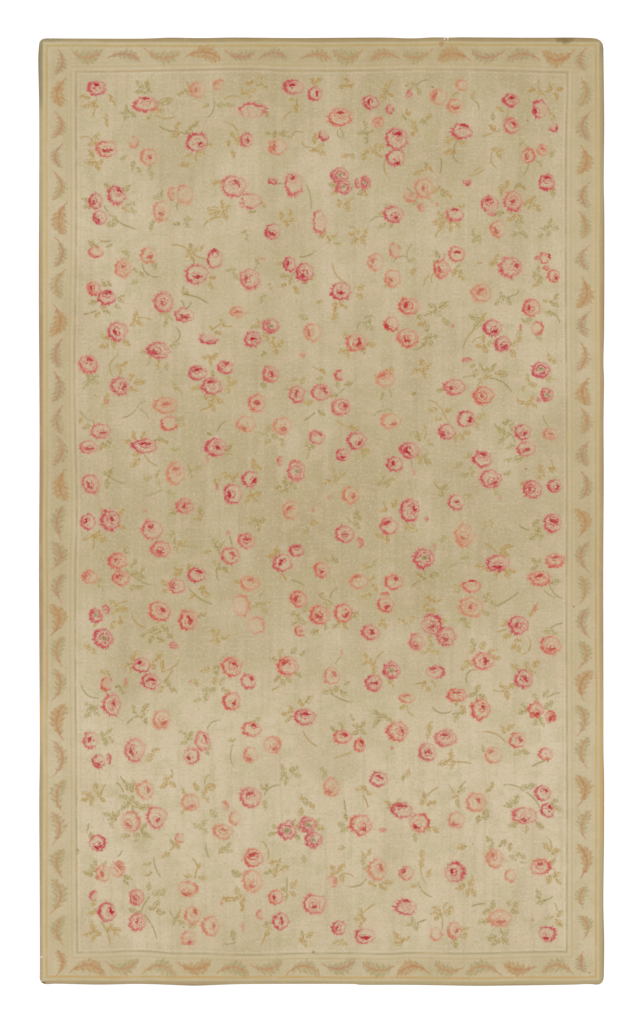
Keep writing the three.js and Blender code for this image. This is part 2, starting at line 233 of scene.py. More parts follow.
LEAF_COLUMNS = "x y turn long"
LEAF = {
    "mist": """
        152 176 270 8 | 123 158 200 6 | 188 85 120 7 | 206 106 200 7 | 222 105 10 9 | 231 105 350 8 |
        268 133 160 6 | 287 136 340 7 | 455 94 200 7 | 473 95 80 8 | 522 143 60 6 | 527 148 300 7 |
        553 153 60 8 | 540 164 320 7 | 133 211 330 8 | 115 220 60 8 | 109 246 200 6 | 124 252 150 6 |
        127 254 290 8 | 134 283 200 6 | 188 219 0 8 | 236 277 320 8 | 184 290 90 7 | 388 206 160 8 |
        382 226 220 8 | 391 224 270 7 | 280 264 180 8 | 293 275 60 8 | 270 287 300 7 | 386 286 200 7 |
        243 232 200 6 | 247 238 280 7 | 427 194 250 7 | 414 203 190 7 | 518 225 290 8 | 514 234 200 9 |
        548 233 270 9 | 540 236 230 6 | 435 261 190 6 | 458 267 30 6 | 539 268 80 7 | 411 260 200 6 |
        474 232 100 8 | 479 240 280 8 | 474 240 240 7 | 121 300 320 8 | 118 307 330 7 | 163 314 200 9 |
        169 318 330 9 | 175 345 20 9 | 144 352 190 8 | 149 361 250 8 | 167 366 90 8 | 174 385 120 8 |
        179 391 320 8 | 262 297 200 8 | 254 327 200 7 | 345 335 120 9 | 319 379 200 7 | 295 380 190 8 |
        303 380 60 8 | 289 389 180 7 | 337 383 100 8 | 376 376 160 8 | 303 317 160 9 | 428 314 200 8 |
        438 314 340 8 | 446 322 310 9 | 547 301 170 8 | 548 313 170 9 | 519 333 250 8 | 472 366 200 6 |
        482 367 120 9 | 479 383 250 9 | 108 446 330 6 | 148 478 20 9 | 158 474 70 8 | 159 484 270 8 |
        172 493 330 8 | 190 468 120 8 | 191 475 270 8 | 197 468 20 8 | 176 449 10 8 | 207 456 200 7 |
        181 419 20 8 | 183 424 340 8 | 264 434 160 8 | 267 443 220 8 | 276 437 330 8 | 282 443 280 8 |
        269 428 60 7 | 334 473 100 8 | 341 475 30 9 | 336 481 270 8 | 383 476 100 7 | 392 480 20 8 |
        412 434 170 9 | 430 443 320 8 | 425 455 30 7 | 468 456 200 8 | 458 465 220 8 | 472 472 280 9 |
        464 475 200 8 | 508 473 20 8 | 508 460 10 8 | 468 496 0 8 | 495 491 280 8 | 127 547 60 8 |
        143 571 60 9 | 172 534 250 8 | 177 550 300 8 | 175 541 100 6 | 215 563 150 8 | 226 560 60 6 |
        147 633 190 9 | 306 531 250 8 | 350 521 150 8 | 327 560 170 8 | 374 564 50 8 | 326 605 270 9 |
        331 603 320 7 | 256 605 200 9 | 266 603 20 9 | 264 610 320 9 | 303 622 320 8 | 306 608 60 8 |
        541 536 330 7 | 484 526 260 9 | 492 523 270 8 | 443 538 30 9 | 464 558 190 7 | 485 598 100 8 |
        493 603 300 8 | 486 613 330 9 | 457 592 200 8 | 555 633 330 8 | 126 684 60 8 | 88 704 160 8 |
        96 709 60 7 | 97 713 310 8 | 141 716 200 8 | 222 681 60 9 | 206 690 190 8 | 226 691 330 9 |
        197 700 200 8 | 182 732 150 8 | 183 743 200 7 | 103 736 110 9 | 109 731 40 7 | 111 740 310 7 |
        232 740 190 8 | 281 653 80 9 | 303 653 30 7 | 283 683 290 8 | 289 680 310 8 | 347 683 30 6 |
        352 717 120 7 | 341 725 100 8 | 257 720 30 8 | 434 684 300 7 | 478 688 60 9 | 456 718 250 9 |
        535 697 120 8 | 210 747 60 7 | 123 797 170 8 | 108 815 160 9 | 118 813 60 7 | 112 824 270 9 |
        136 838 250 9 | 213 813 130 9 | 197 826 150 9 | 204 823 40 8 | 205 831 320 8 | 228 850 330 9 |
        229 845 60 7 | 77 852 260 6 | 283 768 110 8 | 297 775 330 9 | 262 787 120 6 | 265 805 270 9 |
        323 770 140 8 | 324 777 250 8 | 341 825 150 9 | 344 830 220 9 | 275 827 160 8 | 272 834 200 8 |
        341 848 200 7 | 517 753 200 8 | 483 748 110 7 | 452 789 130 8 | 525 787 170 8 | 558 809 330 9 |
        526 830 270 9 | 415 838 280 8 | 491 846 250 8 | 517 855 200 8 | 522 856 330 8 | 95 862 100 7 |
        105 864 60 7 | 147 864 200 8 | 148 874 200 8 | 149 886 90 8 | 156 893 200 9 | 163 892 60 8 |
        175 921 250 8 | 182 923 330 7 | 192 926 200 8 | 304 860 280 8 | 284 890 150 7 | 286 897 260 8 |
        363 861 100 8 | 366 868 200 8 | 336 943 200 9 | 513 858 150 8 | 409 924 200 7 | 509 903 120 8 |
        506 933 40 8 | 549 917 190 8
    """,
    "ochre": """
        85 97 175 9 | 88 105 200 10 | 95 103 60 8 | 111 98 120 7 | 149 117 250 7 | 158 110 350 11 |
        92 144 200 9 | 96 138 60 10 | 91 153 120 8 | 91 162 180 11 | 98 167 290 8 | 178 125 60 9 |
        175 135 200 8 | 196 158 280 6 | 182 165 190 7 | 228 144 250 7 | 233 153 100 8 | 238 141 300 8 |
        249 83 200 7 | 313 81 150 8 | 319 80 20 7 | 347 80 100 7 | 342 87 200 7 | 351 85 30 8 |
        296 109 270 8 | 383 98 260 9 | 391 95 330 6 | 315 138 80 9 | 313 150 190 7 | 321 146 20 8 |
        369 151 190 9 | 364 157 260 7 | 379 155 320 8 | 345 156 190 8 | 408 113 300 7 | 428 117 30 8 |
        415 128 300 9 | 413 134 250 7 | 447 140 190 10 | 457 138 0 10 | 448 152 200 8 | 454 152 30 6 |
        492 127 150 8 | 499 155 300 8 | 531 90 190 8 | 551 87 90 7 | 556 96 280 8 | 560 89 10 7 |
        431 170 320 8 | 424 170 200 7 | 126 210 320 8 | 213 210 170 12 | 223 204 100 9 | 225 215 290 10 |
        217 183 190 9 | 192 257 300 8 | 213 278 0 7 | 282 216 110 9 | 285 221 200 7 | 290 221 0 9 |
        287 224 280 7 | 366 194 300 6 | 339 204 270 8 | 347 208 290 9 | 329 240 280 8 | 352 234 180 8 |
        355 241 220 8 | 365 233 70 8 | 283 285 200 6 | 296 290 310 9 | 448 195 310 9 | 441 215 130 9 |
        437 222 170 10 | 441 226 250 9 | 503 187 180 9 | 501 193 250 8 | 507 184 70 8 | 511 218 220 10 |
        527 203 200 9 | 533 200 60 9 | 537 208 320 9 | 454 273 250 8 | 493 263 210 9 | 536 284 230 8 |
        97 315 230 7 | 136 315 80 9 | 133 323 230 9 | 140 323 300 9 | 105 337 150 9 | 104 346 200 9 |
        127 343 320 9 | 222 322 120 7 | 211 328 120 5 | 219 333 350 7 | 125 364 30 9 | 132 376 70 8 |
        140 382 10 10 | 135 390 330 9 | 206 357 170 9 | 215 356 50 8 | 207 397 190 9 | 213 396 90 8 |
        219 401 330 10 | 211 404 260 8 | 107 397 80 9 | 104 404 250 8 | 266 337 300 9 | 273 342 270 9 |
        281 343 50 9 | 276 350 290 9 | 335 306 100 10 | 343 305 320 9 | 343 351 200 9 | 371 345 350 8 |
        323 372 300 7 | 421 324 200 7 | 480 346 170 9 | 485 349 300 9 | 513 354 300 9 | 422 362 110 8 |
        427 366 30 9 | 416 371 210 9 | 424 374 290 8 | 487 377 200 8 | 553 361 330 8 | 523 389 260 6 |
        520 401 150 9 | 529 404 200 9 | 134 435 100 8 | 127 441 170 9 | 144 435 60 9 | 137 454 200 9 |
        135 463 230 11 | 235 477 60 9 | 216 482 110 7 | 213 408 300 8 | 121 512 60 9 | 355 428 340 9 |
        253 464 270 9 | 326 482 200 8 | 248 499 230 9 | 395 503 50 9 | 383 510 190 8 | 449 410 30 7 |
        541 469 110 9 | 554 470 340 9 | 523 484 140 7 | 97 534 60 8 | 88 538 200 10 | 102 539 340 10 |
        100 533 100 7 | 178 569 170 8 | 177 574 200 8 | 189 567 100 7 | 164 582 120 8 | 165 591 200 8 |
        203 588 20 7 | 206 594 340 9 | 123 609 0 10 | 120 621 270 8 | 406 527 250 8 | 387 540 280 8 |
        271 556 190 9 | 277 550 90 8 | 284 578 300 8 | 346 626 300 8 | 507 548 20 12 | 505 554 350 9 |
        512 571 350 9 | 507 574 300 9 | 497 575 240 8 | 430 598 150 9 | 432 611 0 10 | 504 625 200 7 |
        532 613 240 8 | 536 607 60 9 | 134 656 60 10 | 128 665 200 9 | 159 656 60 10 | 163 666 270 10 |
        153 665 110 8 | 108 673 300 7 | 372 663 290 9 | 374 670 260 9 | 285 713 180 9 | 518 641 40 9 |
        515 646 220 9 | 431 646 60 9 | 430 637 100 8 | 515 667 150 9 | 527 666 80 9 | 536 663 60 9 |
        423 685 250 8 | 503 687 130 10 | 512 686 30 9 | 507 695 280 9 | 463 710 300 9 | 87 794 160 9 |
        85 799 190 9 | 96 787 100 9 | 91 801 270 9 | 163 786 200 8 | 173 785 320 9 | 196 786 110 9 |
        211 787 10 11 | 204 793 250 10 | 177 846 300 9 | 363 788 150 9 | 368 792 330 9 | 389 804 150 9 |
        398 802 60 8 | 303 799 110 8 | 312 806 300 8 | 320 828 330 9 | 443 763 200 10 | 451 755 80 10 |
        452 765 250 9 | 423 801 250 9 | 432 803 20 9 | 435 830 330 9 | 461 847 190 9 | 556 851 30 9 |
        226 899 160 9 | 235 899 200 7 | 93 912 200 8 | 93 925 110 9 | 87 934 190 9 | 97 933 330 9 |
        110 927 60 8 | 117 930 0 9 | 273 862 200 8 | 279 862 60 8 | 276 872 260 9 | 243 901 60 8 |
        242 909 250 7 | 333 869 120 8 | 342 867 50 9 | 334 873 200 8 | 372 884 150 8 | 388 883 10 10 |
        383 887 320 8 | 361 912 90 8 | 363 919 300 9 | 301 940 220 7 | 310 935 40 8 | 305 944 290 8 |
        397 936 120 9 | 398 943 180 9 | 406 939 20 8 | 471 882 70 10 | 460 887 200 9 | 468 893 250 9 |
        549 880 260 9 | 436 909 160 9 | 437 917 230 9 | 449 912 20 10 | 559 923 310 9
    """,
    "olive": """
        139 84 130 8 | 141 87 160 7 | 147 83 80 8 | 149 89 300 8 | 138 92 180 7 | 144 92 330 7 |
        127 108 120 7 | 161 103 190 10 | 167 101 20 12 | 190 129 40 9 | 196 124 45 7 | 187 92 320 7 |
        260 85 200 8 | 266 114 320 9 | 297 102 90 6 | 386 92 150 7 | 275 134 90 7 | 283 133 20 8 |
        370 132 30 8 | 353 157 280 7 | 413 84 180 8 | 419 92 290 8 | 410 88 220 7 | 407 84 90 6 |
        404 116 120 7 | 424 121 200 9 | 426 165 90 7 | 512 104 280 6 | 86 200 160 8 | 88 206 200 10 |
        107 187 120 9 | 127 188 30 9 | 131 204 20 10 | 112 224 190 10 | 162 194 80 8 | 92 244 140 9 |
        97 247 320 6 | 104 283 120 8 | 109 284 320 7 | 176 224 180 7 | 191 247 100 8 | 231 270 190 9 |
        187 293 300 6 | 263 205 310 7 | 252 212 190 7 | 333 185 160 9 | 361 193 200 8 | 284 276 170 9 |
        291 281 250 8 | 304 282 330 7 | 443 192 120 9 | 431 200 320 7 | 518 186 40 8 | 523 188 320 6 |
        499 214 200 9 | 521 219 300 10 | 529 206 260 9 | 551 222 80 9 | 553 193 270 9 | 437 254 120 8 |
        460 272 330 8 | 535 275 120 9 | 540 279 290 9 | 93 302 200 9 | 104 308 300 9 | 107 312 340 7 |
        166 323 240 8 | 185 294 160 8 | 88 377 120 8 | 95 377 10 8 | 213 373 100 6 | 263 355 240 7 |
        363 350 300 8 | 333 396 200 8 | 349 384 10 8 | 432 306 150 8 | 444 305 30 10 | 435 308 90 6 |
        418 316 120 9 | 426 326 100 10 | 432 337 10 11 | 425 342 250 9 | 555 304 330 9 | 556 298 60 9 |
        474 317 170 10 | 477 325 230 10 | 486 370 340 9 | 475 374 250 9 | 494 367 60 8 | 502 374 0 12 |
        441 390 190 8 | 413 394 200 5 | 86 427 200 8 | 102 447 250 8 | 109 442 60 8 | 160 440 0 9 |
        111 472 60 8 | 107 484 260 9 | 209 434 160 5 | 229 448 40 8 | 230 454 0 8 | 173 512 200 9 |
        201 511 100 9 | 322 413 320 8 | 308 446 130 8 | 312 447 340 7 | 285 481 100 9 | 283 491 200 9 |
        278 487 190 7 | 293 486 320 8 | 388 484 250 8 | 357 514 60 9 | 359 517 300 7 | 418 436 110 9 |
        507 422 20 8 | 502 432 300 10 | 428 462 310 9 | 444 489 50 9 | 441 495 260 8 | 136 574 0 9 |
        141 577 340 8 | 132 588 230 7 | 139 587 10 8 | 99 581 30 8 | 215 543 110 10 | 222 545 60 8 |
        220 552 300 7 | 219 567 270 8 | 226 570 320 7 | 202 615 20 8 | 155 630 20 10 | 165 629 330 10 |
        252 521 200 9 | 261 521 20 9 | 258 528 270 8 | 357 525 310 9 | 333 558 100 6 | 335 560 330 8 |
        321 594 110 8 | 324 599 330 9 | 295 614 160 9 | 298 618 300 7 | 295 623 200 8 | 336 625 220 9 |
        325 627 270 7 | 355 615 40 9 | 314 632 200 8 | 536 523 50 8 | 538 532 270 9 | 533 537 220 9 |
        435 575 10 9 | 421 576 150 9 | 538 563 60 9 | 535 561 160 9 | 488 596 60 8 | 462 620 200 7 |
        467 625 300 9 | 548 631 190 9 | 144 635 190 9 | 151 640 240 9 | 162 640 340 9 | 169 635 320 8 |
        157 633 200 8 | 168 684 300 9 | 173 690 330 8 | 117 687 200 6 | 122 691 290 8 | 91 708 200 8 |
        88 714 220 9 | 134 709 110 9 | 146 708 50 11 | 145 720 290 9 | 216 668 200 7 | 216 672 270 8 |
        212 690 20 9 | 206 697 260 9 | 187 739 250 9 | 191 735 80 8 | 106 742 270 8 | 273 659 160 8 |
        277 679 230 8 | 326 691 190 10 | 335 689 30 10 | 344 693 330 8 | 309 699 50 9 | 357 726 170 9 |
        363 724 60 8 | 356 732 210 9 | 363 732 320 8 | 334 729 150 8 | 377 714 120 9 | 376 724 230 9 |
        383 717 20 10 | 388 719 320 9 | 473 643 100 9 | 483 697 330 8 | 457 702 250 8 | 522 712 200 9 |
        536 722 230 9 | 541 722 300 10 | 207 752 300 7 | 126 785 110 10 | 133 786 80 11 | 125 806 230 10 |
        136 804 320 11 | 131 800 60 9 | 145 807 20 10 | 114 815 110 8 | 112 819 180 9 | 125 836 190 9 |
        144 827 60 9 | 146 835 340 9 | 91 836 100 8 | 172 843 120 8 | 222 850 220 9 | 283 776 240 9 |
        294 769 20 9 | 286 781 270 8 | 266 787 60 7 | 404 777 250 8 | 391 807 200 8 | 346 818 280 7 |
        306 802 290 8 | 294 822 60 7 | 298 828 300 7 | 298 838 310 7 | 526 752 340 8 | 547 760 280 6 |
        424 795 100 7 | 462 790 30 9 | 458 803 280 9 | 489 789 220 8 | 510 804 200 11 | 516 799 60 10 |
        554 803 50 10 | 513 825 200 9 | 540 826 320 9 | 478 820 270 8 | 486 817 0 10 | 487 812 20 8 |
        489 840 120 8 | 503 843 50 9 | 510 847 270 8 | 88 873 160 9 | 128 878 340 8 | 126 883 310 7 |
        157 904 60 9 | 151 908 180 7 | 161 912 350 9 | 133 911 150 9 | 139 912 30 7 | 237 874 330 10 |
        267 872 200 8 | 267 924 20 8 | 302 934 90 7 | 455 944 300 9 | 493 904 80 9 | 486 912 210 9 |
        483 922 190 10 | 515 905 60 10 | 515 911 340 9 | 491 938 190 10 | 496 942 220 9 | 505 941 320 10
    """,
    "sage": """
        125 112 190 9 | 126 117 250 9 | 133 115 320 8 | 133 166 260 9 | 139 171 300 7 | 150 169 270 8 |
        180 94 200 7 | 365 125 100 8 | 361 133 190 7 | 366 141 280 7 | 493 116 100 7 | 157 197 190 9 |
        153 222 50 8 | 151 228 250 7 | 142 275 310 7 | 154 265 290 9 | 136 271 320 6 | 187 225 310 8 |
        257 261 120 7 | 524 235 320 9 | 545 228 190 8 | 555 228 330 9 | 86 385 230 9 | 95 382 330 8 |
        366 325 110 9 | 370 328 330 8 | 369 322 60 7 | 264 386 310 8 | 381 397 250 8 | 431 344 300 9 |
        502 296 110 9 | 498 302 220 9 | 509 302 290 8 | 525 321 150 8 | 529 320 20 8 | 539 336 290 10 |
        106 474 140 8 | 381 483 190 9 | 501 440 230 8 | 512 430 280 7 | 508 435 250 6 | 512 424 40 6 |
        510 447 200 9 | 517 459 200 11 | 126 552 300 7 | 134 563 60 9 | 534 568 220 7 | 556 582 20 9 |
        105 690 200 7 | 294 650 60 8 | 299 675 330 8 | 471 695 200 8 | 524 706 130 9 | 549 705 50 10 |
        546 693 60 9 | 531 786 20 9 | 93 868 120 8 | 233 935 100 9 | 538 894 110 9 | 541 902 200 8 |
        413 921 100 8 | 416 927 280 9
    """,
    "tan": """
        97 106 320 7 | 114 103 300 6 | 106 117 90 7 | 107 124 280 7 | 101 162 60 7 | 209 145 0 7 |
        189 156 200 8 | 188 165 20 7 | 201 153 0 8 | 232 134 120 7 | 261 80 60 8 | 265 87 330 7 |
        249 95 330 9 | 252 91 20 8 | 242 91 110 7 | 316 85 270 7 | 292 100 170 6 | 385 86 80 7 |
        322 153 330 9 | 376 147 60 8 | 382 147 60 8 | 412 122 150 8 | 463 143 330 8 | 500 109 150 7 |
        494 149 170 7 | 500 150 20 6 | 540 94 240 8 | 548 91 190 6 | 550 112 300 7 | 553 118 250 6 |
        417 173 190 8 | 214 213 190 10 | 228 208 60 9 | 196 250 50 8 | 188 254 250 8 | 201 248 60 7 |
        209 284 250 7 | 212 287 320 7 | 290 213 80 8 | 334 192 220 9 | 350 200 40 8 | 322 236 190 8 |
        325 232 100 6 | 334 236 30 7 | 357 232 20 8 | 363 241 300 9 | 380 213 190 7 | 311 278 330 6 |
        359 288 160 8 | 362 286 20 6 | 436 190 230 9 | 446 219 60 8 | 450 227 280 9 | 458 225 310 9 |
        463 206 0 7 | 462 278 330 7 | 497 257 60 7 | 479 263 190 5 | 413 272 250 7 | 122 296 20 6 |
        114 344 280 9 | 120 366 200 9 | 121 371 270 8 | 158 365 260 8 | 211 363 270 8 | 196 388 190 9 |
        229 379 90 7 | 233 383 20 9 | 228 389 260 9 | 258 323 100 8 | 334 317 230 9 | 360 296 320 8 |
        319 302 200 6 | 348 354 270 8 | 391 370 80 8 | 308 403 200 9 | 484 317 60 9 | 491 343 40 8 |
        484 338 100 8 | 515 343 20 9 | 519 338 60 7 | 549 357 100 8 | 533 385 330 8 | 528 378 100 8 |
        550 379 0 9 | 532 398 60 9 | 534 405 320 8 | 81 420 60 6 | 166 442 350 6 | 226 475 160 9 |
        198 518 200 8 | 103 511 150 7 | 259 468 310 8 | 363 455 280 8 | 367 450 0 10 | 257 494 20 8 |
        433 410 190 8 | 438 419 200 7 | 481 416 30 9 | 476 424 300 9 | 462 437 300 8 | 455 438 270 8 |
        467 433 0 7 | 419 460 280 8 | 541 476 220 9 | 524 496 220 7 | 122 527 330 7 | 98 585 300 6 |
        182 543 20 9 | 207 552 190 7 | 192 596 230 7 | 114 603 150 8 | 115 612 210 8 | 113 625 250 8 |
        95 624 250 7 | 213 631 190 7 | 237 582 180 7 | 315 523 10 8 | 379 536 150 8 | 365 566 170 8 |
        372 578 60 7 | 375 588 300 8 | 366 595 190 9 | 382 622 60 9 | 385 626 300 8 | 403 622 330 9 |
        412 528 330 12 | 480 567 170 9 | 487 570 330 7 | 425 607 220 8 | 443 621 10 8 | 412 620 250 8 |
        458 586 160 7 | 505 621 150 8 | 130 670 270 7 | 160 690 230 8 | 196 683 300 8 | 104 672 160 8 |
        205 670 200 9 | 215 680 80 8 | 217 634 60 9 | 213 640 200 7 | 218 642 270 8 | 226 637 20 8 |
        88 647 150 8 | 94 652 310 8 | 366 657 110 8 | 365 662 220 9 | 391 683 300 9 | 301 702 120 8 |
        288 719 230 8 | 291 709 110 7 | 404 707 20 8 | 507 636 190 8 | 519 650 280 7 | 483 645 60 9 |
        472 651 220 7 | 493 651 20 9 | 497 658 0 8 | 436 652 340 9 | 425 652 210 8 | 465 667 30 8 |
        468 663 160 9 | 532 672 330 8 | 428 689 290 7 | 430 726 70 9 | 428 735 250 8 | 503 729 110 8 |
        511 727 40 8 | 156 750 20 8 | 150 758 250 10 | 98 794 320 8 | 103 800 330 6 | 166 779 100 9 |
        171 777 40 6 | 207 799 300 8 | 183 790 110 7 | 183 811 240 7 | 165 855 200 9 | 358 789 190 7 |
        408 773 80 8 | 301 812 250 8 | 317 821 40 8 | 364 855 130 7 | 369 852 60 7 | 455 797 200 7 |
        492 784 80 7 | 429 829 10 7 | 547 847 130 10 | 422 855 270 9 | 188 876 170 8 | 203 878 340 8 |
        199 866 60 6 | 179 913 80 8 | 237 891 100 9 | 94 903 250 7 | 94 938 250 8 | 117 935 320 7 |
        285 868 20 9 | 294 884 50 9 | 293 894 320 7 | 240 896 110 8 | 342 879 280 8 | 268 931 250 10 |
        357 919 190 7 | 360 926 240 7 | 344 943 310 9 | 422 862 80 9 | 414 886 200 6 | 429 873 60 8 |
        474 893 300 8 | 553 861 60 8 | 556 875 30 9 | 559 882 320 7 | 434 913 190 8 | 451 908 60 7 |
        465 929 20 9 | 465 935 250 9 | 560 913 50 8
    """,
}

STEM_COLUMNS = "x0 y0 x1 y1 bow"
STEM = {
    "mist": """
        306 184 311 210 2 | 413 244 409 262 -4 | 137 409 146 401 2 | 389 389 391 398 1 | 431 312 441 311 0 |
        463 378 476 376 1 | 139 409 149 420 2 | 144 496 163 489 -1 | 309 450 306 460 1 |
        543 415 549 427 -1 | 411 458 412 468 0 | 99 585 103 592 1 | 178 545 198 548 0 | 265 590 259 600 -1 |
        449 568 458 562 0 | 544 590 556 598 -1 | 335 664 340 657 0 | 477 700 476 686 0 |
        233 744 234 768 -3 | 171 769 173 775 0 | 287 877 287 892 0 | 519 862 527 863 0 | 441 912 442 930 1
    """,
    "ochre": """
        93 102 92 117 2 | 155 115 176 116 -3 | 237 147 223 121 -8 | 302 141 312 147 -3 | 387 92 393 79 1 |
        284 119 292 111 1 | 482 136 494 131 -1 | 494 131 491 124 2 | 494 131 500 128 -2 |
        508 108 503 122 2 | 493 150 497 169 -4 | 389 154 389 178 -5 | 539 79 540 93 -1 | 171 245 191 253 3 |
        191 253 206 259 -1 | 221 217 203 227 -3 | 333 243 341 244 0 | 439 230 436 238 -1 |
        435 272 432 283 -2 | 439 274 423 287 -5 | 212 331 222 324 1 | 222 325 232 326 -1 |
        119 355 113 377 -6 | 336 302 331 321 1 | 463 348 476 328 2 | 144 454 158 466 -2 |
        200 410 211 407 0 | 249 489 258 502 -1 | 383 501 386 509 0 | 424 425 424 440 2 | 93 534 93 550 1 |
        115 606 128 601 1 | 132 615 147 628 -3 | 484 543 497 553 1 | 432 602 442 599 -1 |
        497 632 507 629 0 | 161 672 180 659 -3 | 166 679 173 668 -1 | 272 690 280 686 0 |
        375 664 384 651 2 | 303 731 318 747 -2 | 528 636 521 655 6 | 493 690 504 691 -1 |
        482 732 506 743 4 | 101 795 106 784 1 | 205 785 210 774 2 | 170 851 177 843 0 | 363 795 368 808 1 |
        262 841 268 860 3 | 455 762 472 764 1 | 427 796 439 787 1 | 197 868 195 879 0 | 192 858 198 868 1 |
        222 899 238 898 1 | 101 922 110 945 2 | 261 945 266 929 -1 | 364 913 375 904 1 | 443 910 448 902 1 |
        554 903 557 911 1
    """,
    "olive": """
        159 126 178 131 -2 | 178 131 197 133 -2 | 416 89 428 80 3 | 457 141 454 152 -1 |
        454 152 459 162 -3 | 441 158 440 174 1 | 103 204 137 229 -5 | 100 241 112 240 -1 |
        194 257 194 265 0 | 142 263 159 277 -5 | 299 257 317 250 -2 | 285 183 277 184 0 |
        407 187 419 194 -2 | 512 207 510 213 1 | 83 314 97 310 -1 | 176 327 174 343 5 | 181 300 184 309 1 |
        184 309 191 301 -2 | 183 294 209 304 2 | 413 350 425 342 -2 | 547 311 560 324 3 |
        489 378 512 393 4 | 122 418 139 406 -2 | 217 433 226 421 2 | 304 420 315 412 -1 |
        434 482 442 490 -1 | 218 565 219 581 -2 | 230 536 232 545 0 | 188 587 213 604 -3 |
        291 580 305 586 1 | 330 598 338 588 2 | 519 525 530 530 -1 | 425 571 423 581 0 |
        426 579 412 587 -2 | 496 606 519 592 -1 | 551 628 563 623 1 | 127 724 139 715 1 |
        330 692 352 702 -2 | 476 669 467 684 -5 | 415 684 427 682 0 | 432 707 452 711 -4 |
        452 714 464 714 1 | 116 782 124 793 1 | 121 776 125 782 -1 | 132 805 134 814 0 | 264 795 280 785 3 |
        344 800 346 813 0 | 532 767 545 761 1 | 141 912 150 896 1 | 349 887 367 878 -3 |
        418 882 432 897 -3 | 417 923 427 919 0 | 472 906 486 904 1 | 500 928 502 934 0
    """,
    "rosy": """
        439 263 444 252 -3
    """,
    "sage": """
        207 118 214 100 -3 | 338 129 345 138 -4 | 339 128 341 140 3 | 291 140 304 133 5 |
        528 163 522 176 2 | 366 133 367 143 1 | 473 100 479 110 2 | 178 202 178 210 -1 | 369 223 384 217 3 |
        393 262 409 257 3 | 253 270 257 260 -2 | 519 290 512 295 2 | 262 296 261 304 0 | 358 332 363 321 3 |
        363 319 374 316 1 | 334 398 345 388 0 | 517 292 504 297 2 | 80 411 96 423 -2 | 93 419 95 427 0 |
        108 476 126 484 -1 | 200 512 200 522 1 | 374 416 385 411 2 | 384 411 393 412 2 |
        494 423 506 431 -2 | 510 433 515 443 1 | 125 568 152 585 -3 | 549 583 563 599 -3 |
        81 684 100 698 -5 | 220 661 228 654 1 | 220 720 207 730 -3 | 547 699 560 693 2 | 87 833 89 823 0 |
        206 842 209 858 -1 | 117 857 122 850 -1 | 459 788 466 781 0 | 503 785 525 792 3 |
        526 792 540 809 2 | 154 857 161 877 -2 | 144 914 157 940 2 | 170 911 177 921 -1 |
        223 944 236 942 -1 | 544 900 553 896 -1
    """,
    "tan": """
        80 138 92 141 3 | 224 99 240 97 2 | 484 167 472 175 -2 | 540 93 546 100 2 | 108 214 116 216 -1 |
        349 226 356 228 0 | 332 262 348 284 -4 | 453 216 450 224 0 | 508 197 511 190 0 |
        468 176 486 167 -2 | 137 318 152 320 1 | 312 366 324 371 -1 | 472 343 484 337 2 |
        428 400 441 409 2 | 217 481 223 480 1 | 336 421 352 428 -1 | 441 405 450 424 -1 |
        550 459 553 470 1 | 407 706 414 716 -2 | 335 758 352 752 0 | 548 838 552 848 1 | 339 876 354 877 3 |
        423 858 427 885 -4 | 554 868 557 882 0
    """,
}

